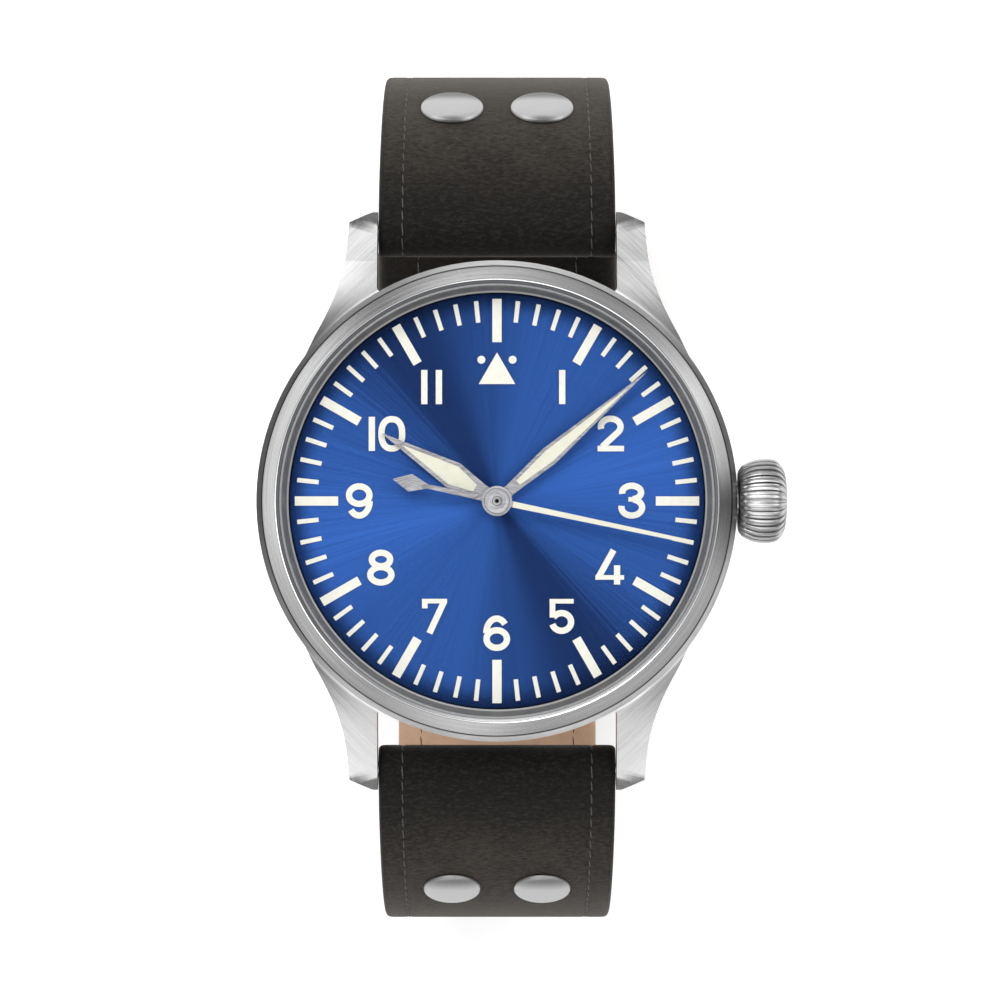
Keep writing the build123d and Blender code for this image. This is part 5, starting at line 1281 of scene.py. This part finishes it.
class WATCH_OT_dial_print(bpy.types.Operator):
    """Raised minute bars and numerals of luminous paint"""

    bl_idname = "watch.dial_print"
    bl_label = "Dial print"

    def execute(self, context):
        sizes = context.scene.watch_sizes
        dial_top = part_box("dial")[1].z / MM
        colours = context.scene.watch_colours
        paint = luminous_paint("luminous_paint_cream", colours.lume)
        deselect()
        long = sizes.minute_bar_outer - sizes.minute_bar_inner
        bpy.ops.mesh.primitive_cube_add(size=1)
        bar = bpy.context.object
        bar.data.transform(Matrix.Diagonal((long, sizes.minute_bar_wide, sizes.print_thick, 1)))
        round_edges(bar, 0.035)
        middle = (sizes.minute_bar_outer + sizes.minute_bar_inner) / 2
        lift = dial_top * MM + sizes.print_thick / 2
        places = [
            Matrix.Rotation(radians(6 * minute), 4, "Z") @ Matrix.Translation((middle, 0, lift))
            for minute in range(60)
            if minute % 5
        ]
        bars = copies(bar, places, "minute_bars")
        settle(bars, "case", "lume_cream", paint)
        widths = {
            "thick": sizes.numeral_stroke / MM,
            "wide": sizes.numeral_stroke / MM * 0.9,
            "thin": sizes.numeral_thin / MM,
        }
        made = []
        for character, x, y in NUMERALS:
            strokes = []
            for line, kind in numeral_strokes(character):
                moved = [(x + a, y + b) for a, b in line]
                stroke = stroke_mesh(moved, widths[kind], dial_top)
                raised = stroke.modifiers.new("print height", "SOLIDIFY")
                raised.thickness = sizes.print_thick
                raised.offset = 1
                apply_all(stroke)
                strokes.append(stroke)
            made.append(combined(strokes[0], strokes[1:], "UNION"))
        numerals = joined(made, "numerals")
        settle(numerals, "case", "lume_cream", paint)
        dress(paint, "dial_markers")
        filling = luminous_paint("luminous_paint_hands", colours.hand_lume)
        dress(filling, "hour_hand_lume", "minute_hand_lume", "seconds_hand_lume")
        return {"FINISHED"}


def dress(material, *nodes):
    """Gives carried-over nodes a better material."""
    for name in nodes:
        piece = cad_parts[name]
        for slot in piece.material_slots:
            slot.material = material


def carried_copy(node, name, moved):
    """A new piece from a carried-over node's shape, with its points moved and its own shading kept."""
    piece = bpy.data.objects.new(name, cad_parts[node].data.copy())
    bpy.context.collection.objects.link(piece)
    choose(piece)
    bpy.ops.object.mode_set(mode="EDIT")
    bpy.ops.mesh.select_all(action="SELECT")
    bpy.ops.mesh.remove_doubles(threshold=0.0005 * MM, use_sharp_edge_from_normals=True)
    bpy.ops.object.mode_set(mode="OBJECT")
    for vertex in piece.data.vertices:
        vertex.co = moved(vertex.co / MM) * MM
    return piece


def slim_hub(way, blade_half):
    """Draws a hand's hub in under the seconds hand's, except where its blade leaves it."""
    way = Vector((cos(radians(way)), sin(radians(way))))

    def moved(place):
        radius = hypot(place.x, place.y)
        side = abs(way.x * place.y - way.y * place.x)
        if 1.2 < radius < 1.75 and (way.dot(place.xy) < 0 or side > blade_half):
            return Vector((place.x * 1.2 / radius, place.y * 1.2 / radius, place.z))
        return place

    return moved


def limited(value, low=0.0, high=1.0):
    return min(max(value, low), high)


def nose_height(y):
    """Height of the frame's lug top, part of an arc, at a distance from the middle."""
    return 0.3585 + sqrt(max(25.33 - (limited(y, LUG_Y, LUG_TIP_Y) - 19.356) ** 2, 0.0))


def lug_top(y):
    """Height of the finished lug top: a straight slope that rounds off sharply at the tip."""
    drop = limited((y - NOSE_Y) / NOSE_LONG)
    return LUG_Z - LUG_FALL * (y - LUG_Y) - NOSE_DROP * (1 - sqrt(1 - drop * drop))


def shade_lug_tops(case):
    """Gives the reshaped lug tops the normals of their smooth slope, no steeper than a worn edge."""
    mesh = case.data
    normals = [corner.vector.copy() for corner in mesh.corner_normals]
    for face in mesh.polygons:
        points = [mesh.vertices[index].co / MM for index in face.vertices]
        on_top = all(abs(p.y) > LUG_Y - 0.02 and abs(p.z - lug_top(abs(p.y))) < 0.02 for p in points)
        if on_top and face.normal.z > 0.05 and abs(face.normal.x) < 0.4:
            for corner, point in zip(face.loop_indices, points):
                y = min(abs(point.y), LUG_TIP_Y - 0.03)
                fall = min((lug_top(y - 0.02) - lug_top(y + 0.02)) / 0.04, LUG_STEEPEST)
                normals[corner] = Vector((0, fall if point.y > 0 else -fall, 1)).normalized()
    mesh.normals_split_custom_set(normals)


def pulled_lug(place):
    """Draws a lug's outer corner out and its side in, as the photograph shows them."""
    x, y, z = place
    if hypot(x, y) < CASE_R + 0.02:
        return place
    outward = limited((abs(x) - LUG_INNER_X) / 2.0)
    far = limited((abs(y) - 19.5) / 3.2)
    waist = sin(pi * limited((abs(y) - 13.7) / 9.0))
    x -= (LUG_IN if x > 0 else -LUG_IN) * outward * waist
    pull = LUG_OUT * outward * far * far * (3 - 2 * far)
    if abs(y) > LUG_Y and abs(z - nose_height(abs(y))) < 0.03:
        z = lug_top(abs(y) + pull)
    y += pull if y > 0 else -pull
    return Vector((x, y, z))


class WATCH_OT_case_metal(bpy.types.Operator):
    """Finishes of the case, bezel, hands, dial and buckle"""

    bl_idname = "watch.case_metal"
    bl_label = "Case and dial finishes"

    def execute(self, context):
        colours = context.scene.watch_colours
        case = carried_copy("case_body", "case_and_lugs", pulled_lug)
        shade_lug_tops(case)
        settle(case, "case", "case_steel", case_steel(colours), "case_body")
        satin = turned_steel("turned_satin_steel", colours.bezel, 1.2, 0.26, 0.16, BEZEL_PAINTED_FANS, BEZEL_PAINTED_STEPS)
        dress(satin, "bezel")
        even = turned_steel("turned_back_steel", colours.steel, 1.0, 0.3, 0.12, EVEN_FANS, EVEN_STEPS)
        dress(even, "back_ring")
        dress(dial_lacquer(colours), "dial")
        hands = hand_steel(colours)
        dress(hands, "seconds_hand")
        for node, body, way, blade_half in (
            ("hour_hand", "hour_body", 149.55, 0.7), ("minute_hand", "minute_body", 40.74, 0.48),
        ):
            hand = carried_copy(node, f"{node}_slim", slim_hub(way, blade_half))
            settle(hand, body, "hand_steel", hands, node)
        dress(clear_crystal(), "crystal", "back_crystal")
        dress(polished_step(), "case_gaskets", "crown_seal")
        dress(flange_steel(), "inner_ring")
        dress(polished_steel("polished_steel", colours.steel), "crown_tube", "buckle_tongue", "spring_bars")
        tips = (f"bar_tip_{hour}_{side}" for hour in (12, 6) for side in ("left", "right"))
        dress(polished_steel("polished_tips", colours.steel), *tips)
        dress(brushed_steel("brushed_buckle_steel", colours.steel, 0, 0.28), "buckle_frame")
        return {"FINISHED"}


class WATCH_OT_movement(bpy.types.Operator):
    """Finishes of the movement behind the display back"""

    bl_idname = "watch.movement"
    bl_label = "Movement finishes"

    def execute(self, context):
        colours = context.scene.watch_colours
        dress(striped_nickel(colours), "barrel_bridge", "train_bridge", "balance_cock")
        dress(grained_nickel(colours), "main_plate", "pallet_bridge")
        dress(satin_grey("moulded_holder", "#8d8f92", 0.5), "movement_ring")
        dress(
            gilt_brass(colours),
            "centre_wheel", "third_wheel", "fourth_wheel", "barrel", "balance", "hour_wheel", "minute_wheel",
        )
        dress(
            brushed_steel("sunray_steel_wheels", colours.steel, 15, 0.22),
            "ratchet_wheel", "crown_wheel", "click", "escape_wheel", "pallet_fork", "winding_stem",
            "winding_pinion", "sliding_pinion", "setting_wheel", "cannon_pinion", "barrel_arbor",
            "mainspring",
        )
        dress(ruby_glass(colours), "jewels")
        dress(blued_steel(colours), "bridge_screws", "hairspring")
        return {"FINISHED"}


class WATCH_OT_crown(bpy.types.Operator):
    """Fluted onion crown"""

    bl_idname = "watch.crown"
    bl_label = "Crown"

    def execute(self, context):
        sizes = context.scene.watch_sizes
        deep = sizes.flute_deep / MM
        flutes = sizes.crown_flutes

        def hollow(angle, whole=False):
            """Depth at an angle: flat ridges, steep walls and flat flutes between them."""
            share = limited(0.5 - cos(flutes * angle))
            return deep if whole else deep * share * share * (3 - 2 * share)

        foot, widest, end, full = 20.12, 22.25, 24.2, 3.5
        profile = [(22.92, 0.0, 0), (22.92, 0.56, 0), (22.12, 0.56, 0), (22.12, 1.6, 0), (foot, 1.6, 0)]
        profile += [(foot, 2.4, 0), (foot + 0.06, 2.58, 0)]
        for step in range(1, 10):
            place = foot + 0.06 + (widest - foot - 0.06) * step / 9
            radius = full * (1 - ((widest - place) / 3.0) ** 2.2) ** (1 / 2.2)
            profile.append((place, radius, min(1.0, step / 2)))
        for step in range(1, 15):
            turn = radians(90 * step / 15)
            share, power = sin(turn), 3.4
            radius = full * (1 - share**power) ** (1 / power)
            profile.append((widest + (end - widest) * share, radius, limited(radius - 1.2)))
        profile += [(end, 0.6, 0), (end, 0.0, 0)]
        crown = turned_piece("crown_fluted", profile, flutes * 10, hollow)
        crown.data.transform(Matrix.Translation((0, 0, STEM_Z * MM)))
        settle(crown, "crown_stem", "case_steel", crown_steel(context.scene.watch_colours), "crown")
        return {"FINISHED"}


class WATCH_OT_strap(bpy.types.Operator):
    """Leather strap halves with their linings, seams and punched holes"""

    bl_idname = "watch.strap"
    bl_label = "Strap"

    def execute(self, context):
        colours = context.scene.watch_colours
        sizes = context.scene.watch_sizes
        skin = nubuck("worn_nubuck_leather", colours.leather, colours.leather_dark_and_shade)
        calf = calf_lining(colours)
        holes = [HOLE_FIRST_Y + HOLE_PITCH * number for number in range(HOLE_COUNT)]
        for strap, hour in ((STRAP_12, "12"), (STRAP_6, "6")):
            for layer, stations, narrow, material in (
                ("leather", leather_stations(strap), 0.0, skin),
                ("lining", lining_stations(strap), -0.03, calf),
            ):
                piece = ribbon(
                    f"strap_{hour}_{layer}_sewn", stations, lambda point: strap_half(strap, point),
                    strap_place(strap), seam=0.07, narrow=narrow,
                )
                if strap["pinned"]:
                    cutters = [oval_cutter(PIN_Y - 0.6, FLAT_12 - 1, FLAT_12 + 4.6, 0.85, 3.2)]
                else:
                    cutters = [
                        oval_cutter(middle, FLAT_6 - 1, FLAT_6 + THICK + 0.05, 0.8, 1.6) for middle in holes
                    ]
                combined(piece, cutters, "DIFFERENCE")
                tidy_shell(piece, angle=35)
                slot = "leather_black" if layer == "leather" else "lining_tan"
                settle(piece, "case", slot, material, f"strap_{hour}_{layer}")
        places = []
        for strap in (STRAP_12, STRAP_6):
            for inner in (False, True):
                frames = seam_frames(strap, sizes, inner)
                if not strap["pinned"]:
                    frames += tail_frames(strap, sizes, inner)
                places += [stitch_matrix(frame_at, strap["side"]) for frame_at in frames]
        thread = copies(thread_stitch(sizes), places, "strap_thread")
        settle(thread, "case", "leather_black", waxed_thread(colours))
        return {"FINISHED"}


class WATCH_OT_rivets(bpy.types.Operator):
    """Domed rivets that hold the strap's layers together"""

    bl_idname = "watch.rivets"
    bl_label = "Rivets"

    def execute(self, context):
        sizes = context.scene.watch_sizes
        high = sizes.rivet_high / MM
        made = []
        for strap, elevation, radius in (
            (STRAP_12, 30.7, sizes.rivet_radius_12 / MM),
            (STRAP_6, 30.5, sizes.rivet_radius_6 / MM),
        ):
            profile = [
                (-1.0, 0.0), (-1.0, 0.75), (0.0, 0.75), (0.0, radius - 0.06), (0.05, radius), (0.14, radius),
            ]
            profile += [
                (0.14 + (high - 0.14) * sin(radians(turn)), radius * cos(radians(turn)) ** 0.6)
                for turn in range(14, 90, 8)
            ]
            profile.append((high, 0.0))
            rivet = turned_piece("rivet", profile, 48)
            upper = rivet.data.attributes.new("upper", "FLOAT", "POINT")
            # where each point lies across the head, which places its painted light and shade; the pair at 6
            # is squeezed so that its edges stay lighter
            for index, vertex in enumerate(rivet.data.vertices):
                upper.data[index].value = vertex.co.z / MM / radius * (1.0 if strap["pinned"] else 0.7)
            y, z = arc_point(strap_route(strap)[0], strap["sweep"], elevation)
            out = Vector((0, strap["side"] * cos(radians(elevation)), sin(radians(elevation))))
            side = Vector((1, 0, 0))
            turn = Matrix((out, side, out.cross(side))).transposed().to_4x4()
            places = [
                Matrix.Translation(Vector((x, strap["side"] * y, z)) * MM) @ turn
                for x in (-RIVET_X, RIVET_X)
            ]
            made.append(copies(rivet, places, "rivet_pair"))
        rivets = joined(made, "rivet_heads")
        tidy_shell(rivets)
        settle(rivets, "case", "rivet_steel", tumbled_steel(context.scene.watch_colours), "strap_rivets")
        return {"FINISHED"}


class WATCH_OT_keepers(bpy.types.Operator):
    """Fixed and sliding leather keepers"""

    bl_idname = "watch.keepers"
    bl_label = "Keepers"

    def execute(self, context):
        colours = context.scene.watch_colours
        # the keepers' leather is darkened to 0.3 of the strap's: partly painted shade for the dark gap
        # between the case and the strap's fold
        skin = nubuck("keeper_leather", shade(colours.leather, 0.3), shade(colours.leather_dark_and_shade, 0.6), False)
        half, wall = 10.75, 1.25
        for node, body, middle in (("fixed_keeper", "case", 5.5), ("sliding_keeper", "keeper_slider", 19.2)):
            low, high = (corner.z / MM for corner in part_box(node))
            stations = keeper_stations(half, low, high, wall)
            piece = ribbon(
                f"{node}_sewn", stations, lambda point: 3.5,
                lambda across, x, z: (x, middle + across, z), closed=True,
            )
            settle(piece, body, "leather_black", skin, node)
            frames = []
            for x in (-7.1, 7.1):
                for step in range(6):
                    place = middle - 3.0 + 1.2 * step
                    frames.append((x, place, high - THREAD_SINK + 0.03, (0, 1, 0), (0, 0, 1)))
                    frames.append((x, place, low + THREAD_SINK - 0.03, (0, 1, 0), (0, 0, -1)))
            places = [stitch_matrix(frame_at, 1) for frame_at in frames]
            thread = copies(thread_stitch(context.scene.watch_sizes), places, f"{node}_thread")
            settle(thread, body, "leather_black", waxed_thread(colours))
        return {"FINISHED"}


def keeper_stations(half, low, high, wall):
    """Outer and inner points round a keeper, with two pressed creases near each end of its top."""
    outer_r, inner_r = 1.7, 0.5
    corners = (
        (half, high, 0, 90), (-half, high, 90, 180), (-half, low, 180, 270), (half, low, 270, 360),
    )
    stations = []
    for x, z, first, last in corners:
        side_x, side_z = (1 if x > 0 else -1), (1 if z == high else -1)
        outer_c = (x - side_x * outer_r, z - side_z * outer_r)
        inner_c = (x - side_x * (wall + inner_r), z - side_z * (wall + inner_r))
        for step in range(7):
            angle = first + (last - first) * step / 6
            stations.append((arc_point(outer_c, outer_r, angle), arc_point(inner_c, inner_r, angle)))
        if z == high and x > 0:
            half_creases = (8.92, 8.86, 8.8, 7.3, 7.1, 6.9, 4.0)
            for crease in (*half_creases, 0.0, *(-place for place in reversed(half_creases))):
                dip = 0.07 if round(abs(crease), 2) in (8.86, 7.1) else 0.0
                stations.append(((crease, high - dip), (crease, high - wall)))
        if z == low and x < 0:
            for place in (-6.0, 0.0, 6.0):
                stations.append(((place, low), (place, low + wall)))
    return stations


def light_path(tree):
    """The kinds of a ray, and whether the camera sees it, straight or through the crystal."""
    path = add_node(tree, "ShaderNodeLightPath").outputs
    return path, sum_of(tree, "MAXIMUM", path["Is Camera Ray"], path["Is Transmission Ray"])


class WATCH_OT_stage(bpy.types.Operator):
    """Pale floor, soft lamps, white surroundings and the camera"""

    bl_idname = "watch.stage"
    bl_label = "Stage"

    def execute(self, context):
        scene = context.scene
        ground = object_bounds()[0].z
        deselect()
        bpy.ops.mesh.primitive_plane_add(size=6, location=(0, 0, 0))
        floor = bpy.context.object
        floor.name = "stage_floor"
        floor.data.transform(Matrix.Translation((0, 0, ground - 0.02 * MM)))
        material, tree, _ = start_material("matt_white_floor")
        _, seen = light_path(tree)
        matt = add_node(tree, "ShaderNodeBsdfDiffuse", {"Color": linear("#f2f2f2")})
        bright = spread(tree, seen, 0, 1, 0.0, 0.42)
        glow = add_node(tree, "ShaderNodeEmission", {"Color": (1, 1, 1), "Strength": bright})
        both = add_node(tree, "ShaderNodeAddShader", {0: matt.outputs[0], 1: glow.outputs[0]})
        add_node(tree, "ShaderNodeOutputMaterial", {"Surface": both.outputs[0]})
        floor.data.materials.append(material)
        floor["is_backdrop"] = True
        for name, spot, size, power in (
            ("key_lamp", (-0.14, 0.3, 0.42), 0.28, 1.25),
            ("fill_lamp", (0.32, 0.12, 0.36), 0.36, 0.55),
            ("low_lamp", (-0.1, -0.34, 0.36), 0.36, 0.5),
        ):
            deselect()
            bpy.ops.object.light_add(type="AREA", location=spot)
            lamp = bpy.context.object
            lamp.name = name
            lamp.data.shape = "DISK"
            lamp.data.size = size
            lamp.data.energy = power
            lamp.rotation_euler = (Vector((0, 0, 0)) - Vector(spot)).to_track_quat("-Z", "Y").to_euler()
        world = bpy.data.worlds.new("white_surroundings")
        scene.world = world
        world.use_nodes = True
        tree = world.node_tree
        tree.nodes.clear()
        path, seen = light_path(tree)
        way = add_node(tree, "ShaderNodeTexCoord").outputs["Generated"]
        height = axis_of(tree, way, "Z")
        bands = tone_ramp(
            tree, height,
            [
                (0.0, "#c8c8c8"), (0.07, "#bcbcbc"), (0.15, "#484848"), (0.25, "#545454"), (0.42, "#d8d8d8"),
                (0.7, "#ffffff"), (1.0, "#fcfcfc"),
            ],
        )
        glossy = mixed(tree, path["Is Glossy Ray"], 0.6, bands)
        strength = mixed(tree, seen, glossy, 1.0)
        sky = add_node(tree, "ShaderNodeBackground", {"Color": (1, 1, 1), "Strength": strength})
        add_node(tree, "ShaderNodeOutputWorld", {"Surface": sky.outputs[0]})
        camera_data = bpy.data.cameras.new("photo_camera")
        camera = bpy.data.objects.new("photo_camera", camera_data)
        bpy.context.collection.objects.link(camera)
        camera.location = [part * MM for part in CAMERA_PLACE]
        camera_data.sensor_width = 36
        camera_data.lens = CAMERA_LENS
        camera_data.clip_start = 0.01
        camera_data.clip_end = 20
        scene.camera = camera
        scene.view_settings.view_transform = "Standard"
        return {"FINISHED"}


class WATCH_PT_panel(bpy.types.Panel):
    """Lists the steps that dress the watch, with their sizes and colours"""

    bl_idname = "WATCH_PT_panel"
    bl_label = "Pilot Watch"
    bl_space_type = "VIEW_3D"
    bl_region_type = "UI"
    bl_category = "Pilot Watch"

    def draw(self, context):
        column = self.layout.column()
        for operator in OPERATORS:
            column.operator(operator.bl_idname)
        for group in (context.scene.watch_sizes, context.scene.watch_colours):
            for name in group.__annotations__:
                column.prop(group, name)


OPERATORS = (
    WATCH_OT_case_metal,
    WATCH_OT_movement,
    WATCH_OT_dial_print,
    WATCH_OT_crown,
    WATCH_OT_strap,
    WATCH_OT_rivets,
    WATCH_OT_keepers,
    WATCH_OT_stage,
)
CLASSES = (WatchSizes, WatchColours, *OPERATORS, WATCH_PT_panel)


def register():
    for part in CLASSES:
        bpy.utils.register_class(part)
    bpy.types.Scene.watch_sizes = PointerProperty(type=WatchSizes)
    bpy.types.Scene.watch_colours = PointerProperty(type=WatchColours)


def unregister():
    del bpy.types.Scene.watch_colours
    del bpy.types.Scene.watch_sizes
    for part in reversed(CLASSES):
        bpy.utils.unregister_class(part)


def main():
    register()
    bpy.ops.watch.case_metal()
    bpy.ops.watch.movement()
    bpy.ops.watch.dial_print()
    bpy.ops.watch.crown()
    bpy.ops.watch.strap()
    bpy.ops.watch.rivets()
    bpy.ops.watch.keepers()
    bpy.ops.watch.stage()


if __name__ == "__main__":
    main()
